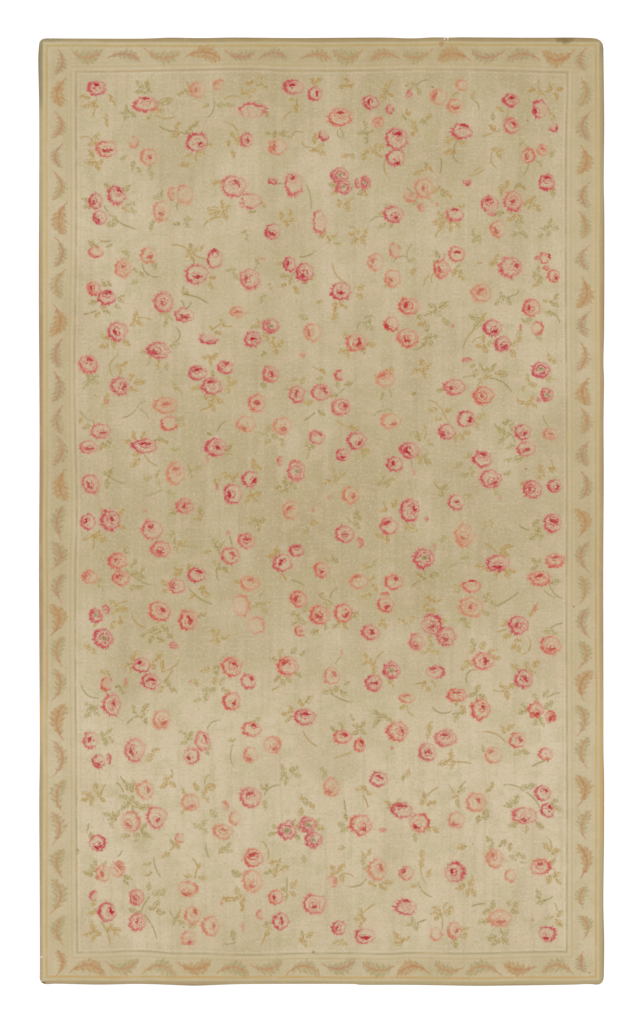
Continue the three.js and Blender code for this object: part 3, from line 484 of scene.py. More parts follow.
FEATHER_COLUMNS = "x0 y0 x1 y1 bow wide"
FEATHER = {
    "green": """
        70 48 103 50 -9 13 | 144 48 181 52 -8 13 | 364 48 332 51 9 15 | 433 49 402 54 6 12 |
        53 171 52 201 9 12 | 66 269 61 299 -7 14 | 63 667 64 636 7 13 | 51 701 54 668 -8 13 |
        64 814 65 779 8 14 | 63 878 64 848 7 14 | 50 914 53 878 -9 16 | 64 946 65 915 8 13 |
        105 961 140 959 -9 14 | 142 974 177 976 9.5 14 | 216 974 250 976 8 14 | 250 964 283 960 -7.5 13 |
        286 975 321 975 9 14 | 398 963 361 962 8 14 | 464 967 434 962 6.5 12 | 502 976 465 975 -9 14 |
        575 976 541 972 -9 14 | 580 76 579 108 7 13 | 578 211 582 240 6 12 | 580 604 580 575 -5.5 12 |
        578 669 580 640 -7.5 13 | 577 736 577 704 -8 13 | 587 768 590 736 7.5 13 | 586 840 590 810 6 13 |
        584 909 587 886 5.5 12 | 584 939 578 915 -7 13
    """,
    "mauve": """
        107 58 141 61 5.5 10 | 224 50 256 52 -6 10 | 259 59 288 59 6 10 | 505 50 470 50 8 12 |
        541 61 506 60 -6.5 12 | 58 49 55 75 6 11 | 64 143 62 169 -8 11 | 55 237 54 268 8 11 |
        63 338 60 369 -6 12 | 53 371 53 403 7.5 12 | 63 405 62 435 -6 12 | 53 432 52 467 10 12 |
        62 540 64 505 6 13 | 51 570 54 541 -8 15 | 62 603 65 573 7 12 | 321 963 356 959 -8 14 |
        583 951 584 973 -3 12 | 586 48 584 71 -5 11 | 592 111 590 142 -9 13 | 590 182 588 209 -7 12 |
        590 245 588 271 -8 12 | 591 311 587 338 -7.5 12 | 590 441 587 467 -6.5 13 | 581 471 580 500 7 12 |
        590 573 589 541 9 12 | 590 638 588 607 7.5 12
    """,
    "orange": """
        184 58 222 60 7 15 | 471 61 437 60 -7 16 | 575 49 541 51 10 15 | 67 77 61 108 -6.5 15 |
        68 201 64 236 -7 16 | 53 304 51 337 8.5 16 | 66 468 67 502 -7 16 | 50 636 51 603 -9 16 |
        64 740 65 703 8 16 | 56 976 56 949 -7 10 | 68 974 106 975 9.5 14 | 176 961 212 960 -9 15 |
        430 974 396 975 -8.5 14 | 537 966 503 964 5 13 | 580 145 578 175 8 15 | 581 276 577 309 8 16 |
        590 377 589 407 -7.5 15 | 578 538 575 508 -9 14 | 584 701 592 670 7 16 | 578 806 576 774 -8.5 15 |
        580 879 577 843 -8.5 14
    """,
    "pale": """
        300 60 332 60 5.5 10 | 401 60 369 61 -7 12 | 54 111 52 139 8.5 12 | 52 777 53 740 -10 12 |
        52 845 52 811 -8 13 | 580 341 577 372 7 12 | 580 407 582 435 6 12
    """,
}


# Soft rises of the cloth, up off the floor. They are a few millimetres high, most near the edges.
COCKLES = [
    {"x": 446, "y": 44, "across": 22, "tall": 12, "height": 0.0022},
    {"x": 566, "y": 46, "across": 24, "tall": 16, "height": 0.0034},
    {"x": 330, "y": 980, "across": 60, "tall": 12, "height": 0.0022},
    {"x": 196, "y": 982, "across": 46, "tall": 14, "height": 0.0026},
    {"x": 502, "y": 984, "across": 70, "tall": 14, "height": 0.0024},
    {"x": 42, "y": 300, "across": 16, "tall": 70, "height": 0.0026},
    {"x": 41, "y": 560, "across": 14, "tall": 80, "height": 0.0022},
    {"x": 600, "y": 230, "across": 16, "tall": 60, "height": 0.0026},
    {"x": 602, "y": 640, "across": 18, "tall": 90, "height": 0.0024},
    {"x": 41, "y": 860, "across": 14, "tall": 60, "height": 0.0022},
    {"x": 210, "y": 420, "across": 180, "tall": 60, "height": 0.0012},
    {"x": 430, "y": 700, "across": 150, "tall": 80, "height": 0.0012},
]


def shown_colour(red, green, blue):
    """A colour as a picture shows it, 0 to 255, as linear light"""
    def linear(value):
        value = value / 255
        return value / 12.92 if value <= 0.04045 else ((value + 0.055) / 1.055) ** 2.4
    return (linear(red), linear(green), linear(blue), 1)


# The dyes, as they have faded
ROSE_DYES = {
    "crimson": shown_colour(196, 62, 80),
    "rose": shown_colour(201, 78, 81),
    "coral": shown_colour(205, 79, 66),
    "peach": shown_colour(205, 118, 86),
    "blush": shown_colour(203, 116, 90),
}
ROSE_KINDS = ["full", "heart", "open", "eyed", "bud"]
LEAF_DYES = {
    "ochre": shown_colour(186, 149, 73),
    "tan": shown_colour(189, 158, 89),
    "olive": shown_colour(169, 149, 83),
    "sage": shown_colour(169, 156, 98),
    "mist": shown_colour(180, 162, 105),
}
STEM_DYES = {
    "ochre": shown_colour(178, 148, 88),
    "tan": shown_colour(182, 154, 98),
    "olive": shown_colour(160, 142, 90),
    "sage": shown_colour(164, 150, 100),
    "mist": shown_colour(172, 156, 108),
    "rosy": shown_colour(202, 138, 120),
}
FEATHER_DYES = {
    "orange": shown_colour(184, 144, 92),
    "green": shown_colour(168, 151, 102),
    "mauve": shown_colour(166, 145, 104),
    "pale": shown_colour(178, 144, 98),
}
FEATHER_RIBS = {
    "orange": shown_colour(184, 130, 88),
    "green": shown_colour(190, 138, 96),
    "mauve": shown_colour(184, 132, 98),
    "pale": shown_colour(186, 136, 98),
}
FEATHER_BODY = {"orange": 0.72, "green": 0.54, "mauve": 0.52, "pale": 0.48}
FEATHER_LENGTH = 30
HEART_ABOVE = 0.02
HEART_OUT = 2.15
ROSE_STRENGTH = {"crimson": 1, "rose": 0.92, "coral": 0.96, "peach": 0.84, "blush": 0.82}
DEEP_RED = shown_colour(176, 36, 46)
ROSE_CREAM = shown_colour(212, 190, 158)
OPEN_CENTRE = shown_colour(138, 126, 76)


def chart_rows(columns, text):
    """The rows of one chart entry, each a dict of column name to number"""
    names = columns.split()
    return [dict(zip(names, map(float, row.split()))) for row in text.split("|")]


def on_cloth(x, y):
    """A chart place as metres on the rug"""
    return np.array([(x - CHART_MIDDLE_X) * CHART_SQUARE, (CHART_MIDDLE_Y - y) * CHART_SQUARE])


# Motifs. A motif has its patch, a polygon on the cloth, and its own measure of place: place is
# (along, across) = ((point - start) . right, (point - start) . up).


def motif(patch, start, right, up, seed, make, dye, rib=(0, 0, 0, 1)):
    """One motif: its patch, its measure of place, and what its drawing needs to know"""
    return {
        "patch": [np.asarray(p, float) for p in patch],
        "start": np.asarray(start, float),
        "right": np.asarray(right, float),
        "up": np.asarray(up, float),
        "seed": seed,
        "make": make,
        "dye": dye,
        "rib": rib,
    }


def cut_back(polygon, middle, direction, reach):
    """The part of a convex polygon that lies no further than reach from middle, along direction"""
    kept = []
    for a, b in zip(polygon, polygon[1:] + polygon[:1]):
        past_a = np.dot(a - middle, direction) - reach
        past_b = np.dot(b - middle, direction) - reach
        if past_a <= 0:
            kept.append(a)
        if past_a * past_b < 0:
            kept.append(a + (b - a) * past_a / (past_a - past_b))
    return kept


def rose_motifs():
    """A patch round each rose, cut back where another rose lies close beside it"""
    rows = []
    for name, text in ROSE.items():
        dye, kind = name.split()
        for row in chart_rows(ROSE_COLUMNS, text):
            rows.append({**row, "dye": dye, "kind": kind})
    middles = [on_cloth(row["x"], row["y"]) for row in rows]
    sizes = [np.array([row["across"], row["tall"]]) * CHART_SQUARE / 2 for row in rows]
    turns = [2 * math.pi * step / ROSE_SIDES for step in range(ROSE_SIDES)]
    motifs = []
    for i, (row, middle, size) in enumerate(zip(rows, middles, sizes)):
        patch = [middle + ROSE_REACH * size * [math.cos(t), math.sin(t)] for t in turns]
        for j, other in enumerate(middles):
            apart = np.linalg.norm(other - middle)
            if i == j or apart > ROSE_REACH * (max(size) + max(sizes[j])):
                continue
            share = np.mean(size) / (np.mean(size) + np.mean(sizes[j]))
            patch = cut_back(patch, middle, (other - middle) / apart, apart * share)
        dye = row["dye"]
        make = (math.radians(row["heavy"]), ROSE_KINDS.index(row["kind"]), ROSE_STRENGTH[dye])
        made = motif(patch, middle, (1 / size[0], 0), (0, 1 / size[1]), i, make, ROSE_DYES[dye])
        heart_x = row["heart_x"] / row["across"] * HEART_OUT
        heart_y = row["heart_y"] / row["tall"] * HEART_OUT + HEART_ABOVE
        made["heart"] = (heart_x, heart_y, np.mean(size) / CHART_SQUARE)
        motifs.append(made)
    return motifs


def leaf_motifs():
    """A lozenge patch round each leaf"""
    outline = [(-0.1, 0), (0.15, -1.25), (0.85, -1.25), (1.1, 0), (0.85, 1.25), (0.15, 1.25)]
    motifs = []
    for dye, text in LEAF.items():
        for row in chart_rows(LEAF_COLUMNS, text):
            turn = math.radians(row["turn"])
            length = row["long"] * CHART_SQUARE * LEAF_GROWTH
            along = np.array([math.cos(turn), math.sin(turn)])
            across = np.array([-along[1], along[0]])
            start = on_cloth(row["x"], row["y"]) - along * length / 2
            patch = [start + along * a * length + across * b * length * LEAF_WIDTH for a, b in outline]
            right = along / length
            up = across / (length * LEAF_WIDTH)
            make = (row["long"] * LEAF_GROWTH, 0, 1)
            motifs.append(motif(patch, start, right, up, len(motifs), make, LEAF_DYES[dye]))
    return motifs


def bowed_strip(row, reach):
    """The patch, start, right and up of a motif that runs from x0, y0 to x1, y1 and bows to its left"""
    start = on_cloth(row["x0"], row["y0"])
    run = on_cloth(row["x1"], row["y1"]) - start
    length = np.linalg.norm(run)
    along = run / length
    across = np.array([-along[1], along[0]])
    sides = []
    for side in (-1, 1):
        steps = range(STRIP_SPANS + 1) if side < 0 else range(STRIP_SPANS, -1, -1)
        for step in steps:
            t = step / STRIP_SPANS
            off = (row["bow"] * 4 * t * (1 - t) + side * reach) * CHART_SQUARE
            past = (2 * t - 1) * CHART_SQUARE
            sides.append(start + along * (t * length + past) + across * off)
    return sides, start, along / length, across / CHART_SQUARE


def stem_motifs():
    """A bowed strip along each stem"""
    motifs = []
    for dye, text in STEM.items():
        for row in chart_rows(STEM_COLUMNS, text):
            strip = bowed_strip(row, STEM_REACH)
            long = math.hypot(row["x1"] - row["x0"], row["y1"] - row["y0"])
            motifs.append(motif(*strip, len(motifs), (long, row["bow"], 1), STEM_DYES[dye]))
    return motifs


def feather_motifs():
    """The border's leaves, each from the end of its stalk to its tip"""
    motifs = []
    for dye, text in FEATHER.items():
        for row in chart_rows(FEATHER_COLUMNS, text):
            strip = bowed_strip(row, row["wide"] / 2 + FEATHER_REACH)
            make = (row["wide"], row["bow"], FEATHER_BODY[dye])
            motifs.append(motif(*strip, len(motifs), make, FEATHER_DYES[dye], FEATHER_RIBS[dye]))
    return motifs


# The cloth's mesh


def rug_outline():
    """The rug's outline, anticlockwise, read from the widest ring of the plain solid's own mesh"""
    solid = bmesh.new()
    solid.from_mesh(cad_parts["rug"].data)
    bmesh.ops.remove_doubles(solid, verts=solid.verts, dist=1e-5)
    heights = sorted({round(v.co.z, 5) for v in solid.verts})
    rim = heights[len(heights) // 2 - 1]
    ring = {v for v in solid.verts if round(v.co.z, 5) == rim}
    first = min(ring, key=lambda v: (v.co.x, v.co.y))
    path = [first]
    while True:
        beside = [e.other_vert(path[-1]) for e in path[-1].link_edges]
        onward = [v for v in beside if v in ring and v not in path[-2:]]
        if not onward or (len(path) > 2 and first in onward):
            break
        path.append(onward[0])
    outline = np.array([(v.co.x, v.co.y) for v in path])
    solid.free()
    after = np.roll(outline, -1, axis=0)
    turning = np.sum(outline[:, 0] * after[:, 1] - outline[:, 1] * after[:, 0])
    return outline if turning > 0 else outline[::-1]


def outward(outline):
    """The outline's outward direction at each of its points"""
    edges = np.roll(outline, -1, axis=0) - outline
    edges /= np.linalg.norm(edges, axis=1)[:, None]
    blend = edges + np.roll(edges, 1, axis=0)
    blend /= np.linalg.norm(blend, axis=1)[:, None]
    return np.stack([blend[:, 1], -blend[:, 0]], axis=1)


def lift(points):
    """How far the cloth's underside stands off the floor at each point"""
    height = np.zeros(len(points))
    for cockle in COCKLES:
        away = (points - on_cloth(cockle["x"], cockle["y"])) / CHART_SQUARE
        spread = (away[:, 0] / cockle["across"]) ** 2 + (away[:, 1] / cockle["tall"]) ** 2
        height += cockle["height"] * np.exp(-spread * 1.5)
    return height


def cut_into_patches(outline, layers):
    """The rug's face in triangles that follow every patch. Each comes with the patches it lies in"""
    loops = [list(outline)]
    owners = []
    lowest = outline.min(axis=0) + EDGE_CLEAR
    highest = outline.max(axis=0) - EDGE_CLEAR
    for layer, motifs in layers.items():
        for index, one in enumerate(motifs):
            loops.append(np.clip(one["patch"], lowest, highest))
            owners.append((layer, index))
    points = [Vector(p) for loop in loops for p in loop]
    faces = []
    for loop in loops:
        first = faces[-1][-1] + 1 if faces else 0
        faces.append(list(range(first, first + len(loop))))
    low = outline.min(axis=0) + GROUND_SPACING
    high = outline.max(axis=0) - GROUND_SPACING * 0.5
    for x in np.arange(low[0], high[0], GROUND_SPACING):
        for y in np.arange(low[1], high[1], GROUND_SPACING):
            points.append(Vector((x, y)))
    inside = 1
    found = delaunay_2d_cdt(points, [], faces, inside, SMALLEST_GAP / 2)
    corners = np.array([tuple(p) for p in found[0]])
    triangles = np.array(found[2])
    motifs_of = [[owners[i - 1] for i in ids if i > 0] for ids in found[5]]
    return corners, triangles, motifs_of


def nearest_motifs(layers, corners, triangles, motifs_of):
    """For each layer, the motif that each triangle belongs to, or -1"""
    middles = corners[triangles].mean(axis=1)
    chosen = {layer: np.full(len(triangles), -1) for layer in layers}
    for triangle, owners in enumerate(motifs_of):
        closest = {}
        for layer, index in owners:
            one = layers[layer][index]
            away = np.linalg.norm(middles[triangle] - np.mean(one["patch"], axis=0))
            if away < closest.get(layer, (math.inf, -1))[0]:
                closest[layer] = (away, index)
        for layer, (_, index) in closest.items():
            chosen[layer][triangle] = index
    return chosen


def write_attribute(mesh, name, kind, domain, values):
    """A named attribute of the mesh, for the wool's material to read"""
    attribute = mesh.attributes.new(name=name, type=kind, domain=domain)
    field = "color" if kind == "FLOAT_COLOR" else "vector"
    attribute.data.foreach_set(field, np.asarray(values, np.float32).ravel())


def write_motifs(mesh, layers, chosen, faces, plan):
    """Each layer's place on every corner, and its make, dye and rib on every face"""
    for layer, motifs in layers.items():
        index = chosen[layer]
        present = index >= 0

        def column(key, width):
            table = np.array([one[key] for one in motifs], float).reshape(len(motifs), width)
            return np.where(present[:, None], table[index], 0)

        start = column("start", 2)[:, None, :]
        spots = plan[faces] - start
        along = np.sum(spots * column("right", 2)[:, None, :], axis=2)
        across = np.sum(spots * column("up", 2)[:, None, :], axis=2)
        seed = np.repeat(column("seed", 1), 3, axis=1)
        place = np.stack([along, across, seed], axis=2)
        write_attribute(mesh, f"{layer}_place", "FLOAT_VECTOR", "CORNER", place)
        write_attribute(mesh, f"{layer}_make", "FLOAT_VECTOR", "FACE", column("make", 3))
        write_attribute(mesh, f"{layer}_dye", "FLOAT_COLOR", "FACE", column("dye", 4))
        if layer == "rose":
            write_attribute(mesh, "rose_heart", "FLOAT_VECTOR", "FACE", column("heart", 3))
        if layer == "feather":
            write_attribute(mesh, "feather_rib", "FLOAT_COLOR", "FACE", column("rib", 4))


def rug_cloth(outline, wool):
    """The woven sheet: one face above, one below, and a round selvage between them"""
    layers = {
        "feather": feather_motifs(),
        "stem": stem_motifs(),
        "leaf": leaf_motifs(),
        "rose": rose_motifs(),
    }
    half = THICKNESS / 2
    out = outward(outline)
    edge = outline - out * half
    corners, triangles, motifs_of = cut_into_patches(edge, layers)
    chosen = nearest_motifs(layers, corners, triangles, motifs_of)
    count = len(corners)
    around = len(edge)

    # The face's points above and below, then the selvage's rings from top to bottom
    floor = lift(corners)
    above = np.column_stack([corners, floor + THICKNESS])
    below = np.column_stack([corners, floor])
    rings = []
    for step in range(1, SELVAGE_STEPS):
        angle = math.pi / 2 - math.pi * step / SELVAGE_STEPS
        ring = edge + out * half * math.cos(angle)
        rings.append(np.column_stack([ring, lift(edge) + half + half * math.sin(angle)]))
    points = np.concatenate([above, below, *rings])
    # The rim's own points in the cut face: the nearest face point to each point of the edge
    rim = [int(np.argmin(np.sum((corners - p) ** 2, axis=1))) for p in edge]
    levels = [np.array(rim)]
    levels += [2 * count + step * around + np.arange(around) for step in range(SELVAGE_STEPS - 1)]
    levels.append(np.array(rim) + count)
    wall = []
    for upper, lower in zip(levels, levels[1:]):
        for i in range(around):
            j = (i + 1) % around
            wall.append((upper[i], lower[i], lower[j]))
            wall.append((upper[i], lower[j], upper[j]))
    faces = np.concatenate([triangles, triangles[:, ::-1] + count, np.array(wall)])

    mesh = bpy.data.meshes.new("rug_cloth")
    mesh.from_pydata(points.tolist(), [], faces.tolist())
    mesh.materials.append(wool)
    mesh.polygons.foreach_set("use_smooth", np.ones(len(faces), bool))
    none = np.full(len(wall), -1)
    both = {layer: np.concatenate([own, own, none]) for layer, own in chosen.items()}
    write_motifs(mesh, layers, both, faces, points[:, :2])
    unfold(mesh, points, faces, len(triangles), edge, out)
    cloth = bpy.data.objects.new("rug_cloth", mesh)
    bpy.context.collection.objects.link(cloth)
    return cloth


def unfold(mesh, points, faces, face_count, edge, out):
    """The cloth's flat layout: its face, its underside beside it, and the selvage round the face"""
    low = points[:, :2].min(axis=0)
    width, length = points[:, :2].max(axis=0) - low
    side = max(2 * width + 6 * FLAT_MARGIN, length + 4 * FLAT_MARGIN)
    flat = points[faces][:, :, :2] - low + FLAT_MARGIN
    flat[face_count:2 * face_count] += [width + 3 * FLAT_MARGIN, 0]
    # The selvage's rings open out past the face, a step each
    depth = (THICKNESS - points[faces][:, :, 2]) + np.zeros((len(faces), 3))
    walls = slice(2 * face_count, len(faces))
    spots = points[faces][walls][:, :, :2].reshape(-1, 2)
    nearest = [int(np.argmin(np.sum((edge - p) ** 2, axis=1))) for p in spots]
    opened = edge[nearest] + out[nearest] * np.maximum(depth[walls].reshape(-1, 1), 0) * 3
    flat[walls] = opened.reshape(-1, 3, 2) - low + FLAT_MARGIN
    layer = mesh.uv_layers.new(name="OFBake")
    layer.data.foreach_set("uv", (flat / side).astype(np.float32).ravel())


# Fields: a number that changes over the cloth, a socket of a node tree that adds and multiplies
# as a plain number does.


class Field:
    """A socket and its tree"""

    def __init__(self, tree, socket):
        self.tree = tree
        self.socket = socket

    def rise(self, low, high):
        """0 up to low and 1 from high on, eased in between; from 1 to 0 where low is the higher"""
        node = self.tree.nodes.new("ShaderNodeMapRange")
        node.interpolation_type = "SMOOTHSTEP"
        feed(self.tree, node.inputs["Value"], self)
        feed(self.tree, node.inputs["From Min"], low)
        feed(self.tree, node.inputs["From Max"], high)
        return Field(self.tree, node.outputs["Result"])

    def stroke(self, width):
        """1 where the number is 0, fading to 0 at width on both sides"""
        return abs(self).rise(width, 0)


def maths(operation, swapped=False):
    """A way to reckon with fields: one maths node, with the field last where it is swapped"""
    def method(field, *others):
        node = field.tree.nodes.new("ShaderNodeMath")
        node.operation = operation
        terms = (*others, field) if swapped else (field, *others)
        for slot, term in zip(node.inputs, terms):
            feed(field.tree, slot, term)
        return Field(field.tree, node.outputs[0])
    return method


FIELD_MATHS = {
    "__add__": "ADD", "__sub__": "SUBTRACT", "__mul__": "MULTIPLY", "__truediv__": "DIVIDE",
    "__abs__": "ABSOLUTE", "sine": "SINE", "cosine": "COSINE", "root": "SQRT",
    "least": "MINIMUM", "most": "MAXIMUM", "power": "POWER",
}
for name, operation in FIELD_MATHS.items():
    setattr(Field, name, maths(operation))
for name, operation in {"__radd__": "ADD", "__rsub__": "SUBTRACT", "__rmul__": "MULTIPLY"}.items():
    setattr(Field, name, maths(operation, swapped=True))


def feed(tree, slot, term):
    """Sets a socket to a plain number or colour, or links a field to it"""
    if isinstance(term, Field):
        tree.links.new(term.socket, slot)
    else:
        slot.default_value = term


def length_of(x, y):
    """The length of the step x, y"""
    return (x * x + y * y).root()


def apart(vector):
    """The three numbers of a vector or colour"""
    node = vector.tree.nodes.new("ShaderNodeSeparateXYZ")
    feed(vector.tree, node.inputs[0], vector)
    return [Field(vector.tree, out) for out in node.outputs]


def together(tree, x, y, z):
    """Three numbers as a vector or colour"""
    node = tree.nodes.new("ShaderNodeCombineXYZ")
    for slot, term in zip(node.inputs, (x, y, z)):
        feed(tree, slot, term)
    return Field(tree, node.outputs[0])


def noise(tree, place, scale, detail=2.0):
    """Smooth noise round 0.5, and three noises of their own as a vector"""
    node = tree.nodes.new("ShaderNodeTexNoise")
    feed(tree, node.inputs["Vector"], place)
    feed(tree, node.inputs["Scale"], scale)
    feed(tree, node.inputs["Detail"], detail)
    return Field(tree, node.outputs["Fac"]), Field(tree, node.outputs["Color"])


def chances(tree, seed):
    """Three numbers from 0 to 1, different for each seed"""
    node = tree.nodes.new("ShaderNodeTexWhiteNoise")
    node.noise_dimensions = "1D"
    feed(tree, node.inputs["W"], seed)
    return apart(Field(tree, node.outputs["Color"]))


def petal_edges(tree, x, y):
    """The distance from the nearest edge between uneven flat cells"""
    node = tree.nodes.new("ShaderNodeTexVoronoi")
    node.feature = "DISTANCE_TO_EDGE"
    node.voronoi_dimensions = "2D"
    feed(tree, node.inputs["Vector"], together(tree, x, y, 0))
    feed(tree, node.inputs["Scale"], 1.0)
    return Field(tree, node.outputs["Distance"])


def mix(tree, amount, under, over, blend="MIX"):
    """The colour under with this much of the colour over it"""
    node = tree.nodes.new("ShaderNodeMix")
    node.data_type = "RGBA"
    node.blend_type = blend
    feed(tree, node.inputs[0], amount)
    feed(tree, node.inputs[6], under)
    feed(tree, node.inputs[7], over)
    return Field(tree, node.outputs[2])


def ramp(tree, value, stops):
    """Colours along a number from 0 to 1: stops are (number, colour)"""
    node = tree.nodes.new("ShaderNodeValToRGB")
    feed(tree, node.inputs["Fac"], value)
    elements = node.color_ramp.elements
    while len(elements) < len(stops):
        elements.new(0.5)
    for element, (position, colour) in zip(elements, stops):
        element.position = position
        element.color = colour
    return Field(tree, node.outputs["Color"])


def wander(tree, value, stops):
    """A number that changes along another, both from 0 to 1: stops are (number, result)"""
    node = tree.nodes.new("ShaderNodeFloatCurve")
    feed(tree, node.inputs["Value"], value)
    points = node.mapping.curves[0].points
    while len(points) < len(stops):
        points.new(0.5, 0.5)
    for point, (position, result) in zip(points, stops):
        point.location = (position, result)
    node.mapping.update()
    return Field(tree, node.outputs["Value"])


def new_group(name, inputs, outputs):
    """An empty shader node group, its inputs as fields by name, and the node to feed its outputs"""
    group = bpy.data.node_groups.new(name, "ShaderNodeTree")
    for direction, sockets in (("INPUT", inputs), ("OUTPUT", outputs)):
        for label, kind in sockets.items():
            group.interface.new_socket(name=label, in_out=direction, socket_type=f"NodeSocket{kind}")
    entry = group.nodes.new("NodeGroupInput")
    given = {label: Field(group, entry.outputs[label]) for label in inputs}
    return group, given, group.nodes.new("NodeGroupOutput")


def place_group(tree, group, **terms):
    """The group in a tree, fed by its inputs' names, and its outputs as fields by name"""
    node = tree.nodes.new("ShaderNodeGroup")
    node.node_tree = group
    for label, term in terms.items():
        feed(tree, node.inputs[label], term)
    return {out.name: Field(tree, out) for out in node.outputs}


# What is woven into the cloth, drawn from the ground up

OVER_CLOTH = {"Under": "Color", "Place": "Vector"}
COLOUR_OUT = {"Colour": "Color"}


def chart_place(place):
    """The chart's x and y under a point of the cloth, in squares"""
    x, y, _ = apart(place)
    return x * (1 / CHART_SQUARE) + CHART_MIDDLE_X, CHART_MIDDLE_Y - y * (1 / CHART_SQUARE)


# How pale the ground is down the rug: (share of the frame's height, how pale it is there)
GROUND_BANDS = [
    (0.05, 0.04), (0.12, 0.20), (0.22, 0.42), (0.33, 0.42), (0.40, 0.20), (0.47, 0.05), (0.55, 0.05),
    (0.61, 0.20), (0.66, 0.40), (0.76, 0.86), (0.86, 0.72), (0.95, 0.46),
]
# How much paler the right side is than the left, 0.5 where they are alike
GROUND_LEAN = [
    (0.05, 0.32), (0.12, 0.30), (0.24, 0.32), (0.33, 0.60), (0.45, 0.56), (0.55, 0.54), (0.65, 0.5),
    (0.77, 0.56), (0.90, 0.56),
]
GROUND_DEEP = shown_colour(185, 167, 128)
GROUND_PALE = shown_colour(213, 197, 165)


def ground_group():
    """The cream ground: pale and dark bands down its length, faint streaks along the warp and soft mottling
    """
    group, given, end = new_group("cream ground", {"Place": "Vector"}, COLOUR_OUT)
    x, y = chart_place(given["Place"])
    drift = noise(group, together(group, x * 0.006, y * 0.010, 3), 1.0)[0]
    along = y * (1 / FRAME_SQUARES) + (drift - 0.5) * 0.12
    from_middle = (x - FRAME_MIDDLE_X) * (1 / HALF_FIELD)
    pale = wander(group, along, GROUND_BANDS) + from_middle * from_middle * 0.22
    pale = pale + from_middle * (wander(group, along, GROUND_LEAN) - 0.5)
    colour = mix(group, pale, GROUND_DEEP, GROUND_PALE)
    streak = noise(group, together(group, x * 0.17, y * 0.007, 0), 1.0, 4)[0]
    broad = noise(group, together(group, x * 0.020, y * 0.010, 9), 1.0, 3)[0]
    pass_line = noise(group, together(group, x * 0.05, y * 0.45, 5), 1.0, 2)[0]
    mottle, tints = noise(group, together(group, x * 0.055, y * 0.060, 2), 1.0, 2)
    pink, green, _ = apart(tints)
    fleck = noise(group, together(group, x * 0.42, y * 0.42, 8), 1.0, 2)[0]
    light = shown_colour(220, 204, 176)
    dark = shown_colour(172, 152, 112)
    # Each layer: where its noise starts to show and where it is full, how strong it is and its colour
    layers = [
        (streak, 0.50, 0.70, 0.20, light),
        (streak, 0.50, 0.30, 0.24, dark),
        (broad, 0.50, 0.70, 0.36, light),
        (broad, 0.50, 0.30, 0.32, dark),
        (pass_line, 0.50, 0.75, 0.12, light),
        (pass_line, 0.50, 0.25, 0.12, dark),
        (pink, 0.50, 0.66, 0.36, shown_colour(208, 184, 154)),
        (green, 0.48, 0.64, 0.34, shown_colour(187, 175, 131)),
        (mottle, 0.48, 0.25, 0.24, shown_colour(180, 162, 120)),
        (fleck, 0.52, 0.74, 0.40, light),
        (fleck, 0.48, 0.26, 0.36, dark),
    ]
    for grain, starts, full, strong, tone in layers:
        colour = mix(group, grain.rise(starts, full) * strong, colour, tone)
    feed(group, end.inputs["Colour"], colour)
    return group


def frame_stripe(x, y, left, top, right, bottom):
    """The distance inside a frame, in squares, from the nearest of its four sides"""
    return (x - left).least(right - x).least((y - top).least(bottom - y))


# The guard band at the very edge: its yarns, and where each one comes down the two long sides
GUARD_YARNS = {
    "olive": shown_colour(152, 139, 104),
    "tan": shown_colour(181, 162, 120),
    "brown": shown_colour(182, 154, 113),
    "russet": shown_colour(174, 142, 102),
    "ochre": shown_colour(200, 168, 117),
    "dun": shown_colour(176, 154, 115),
    "buff": shown_colour(186, 169, 128),
}
LEFT_GUARD = [
    (45, "olive"), (98, "olive"), (118, "tan"), (220, "tan"), (290, "russet"), (610, "russet"),
    (690, "dun"), (712, "ochre"), (760, "dun"), (980, "dun"),
]
RIGHT_GUARD = [
    (45, "olive"), (62, "dun"), (105, "dun"), (190, "tan"), (300, "brown"), (650, "brown"),
    (720, "ochre"), (810, "ochre"), (870, "buff"), (980, "tan"),
]

# The ochre stripe's yarn, which changes down the rug
OCHRE_YARNS = {
    "dull": shown_colour(190, 162, 102),
    "bright": shown_colour(202, 172, 109),
    "orange": shown_colour(197, 160, 100),
}
OCHRE_LOTS = [
    (40, "dull"), (75, "dull"), (150, "bright"), (400, "bright"), (540, "dull"), (680, "orange"),
    (780, "bright"), (980, "orange"),
]

# The frames that the stripes run along: left, top, right and bottom, in squares. The outer one lies
# near the edge of the cloth, the inner one is where the inner line begins to wander from.
OUTER_FRAME = (38.9, 37.9, 603.4, 984.8)
INNER_FRAME = (70.5, 66.5, 562.2, 948.3)
TOP_GUARD = (46.5, 43)

# Thin stripes beside the inner line: how far out from it towards the edge, how wide, how strong and
# in which colour. The line itself comes first.
INNER_STRIPES = [
    (-4.4, 0.9, 0.22, (186, 169, 130)),
    (-2.3, 1.5, 0.30, (213, 197, 166)),
    (2.8, 1.8, 0.36, (213, 196, 164)),
    (5.2, 1.5, 0.55, (192, 171, 124)),
    (7.2, 1.3, 0.18, (212, 195, 160)),
    (8.8, 1.2, 0.22, (190, 172, 130)),
]

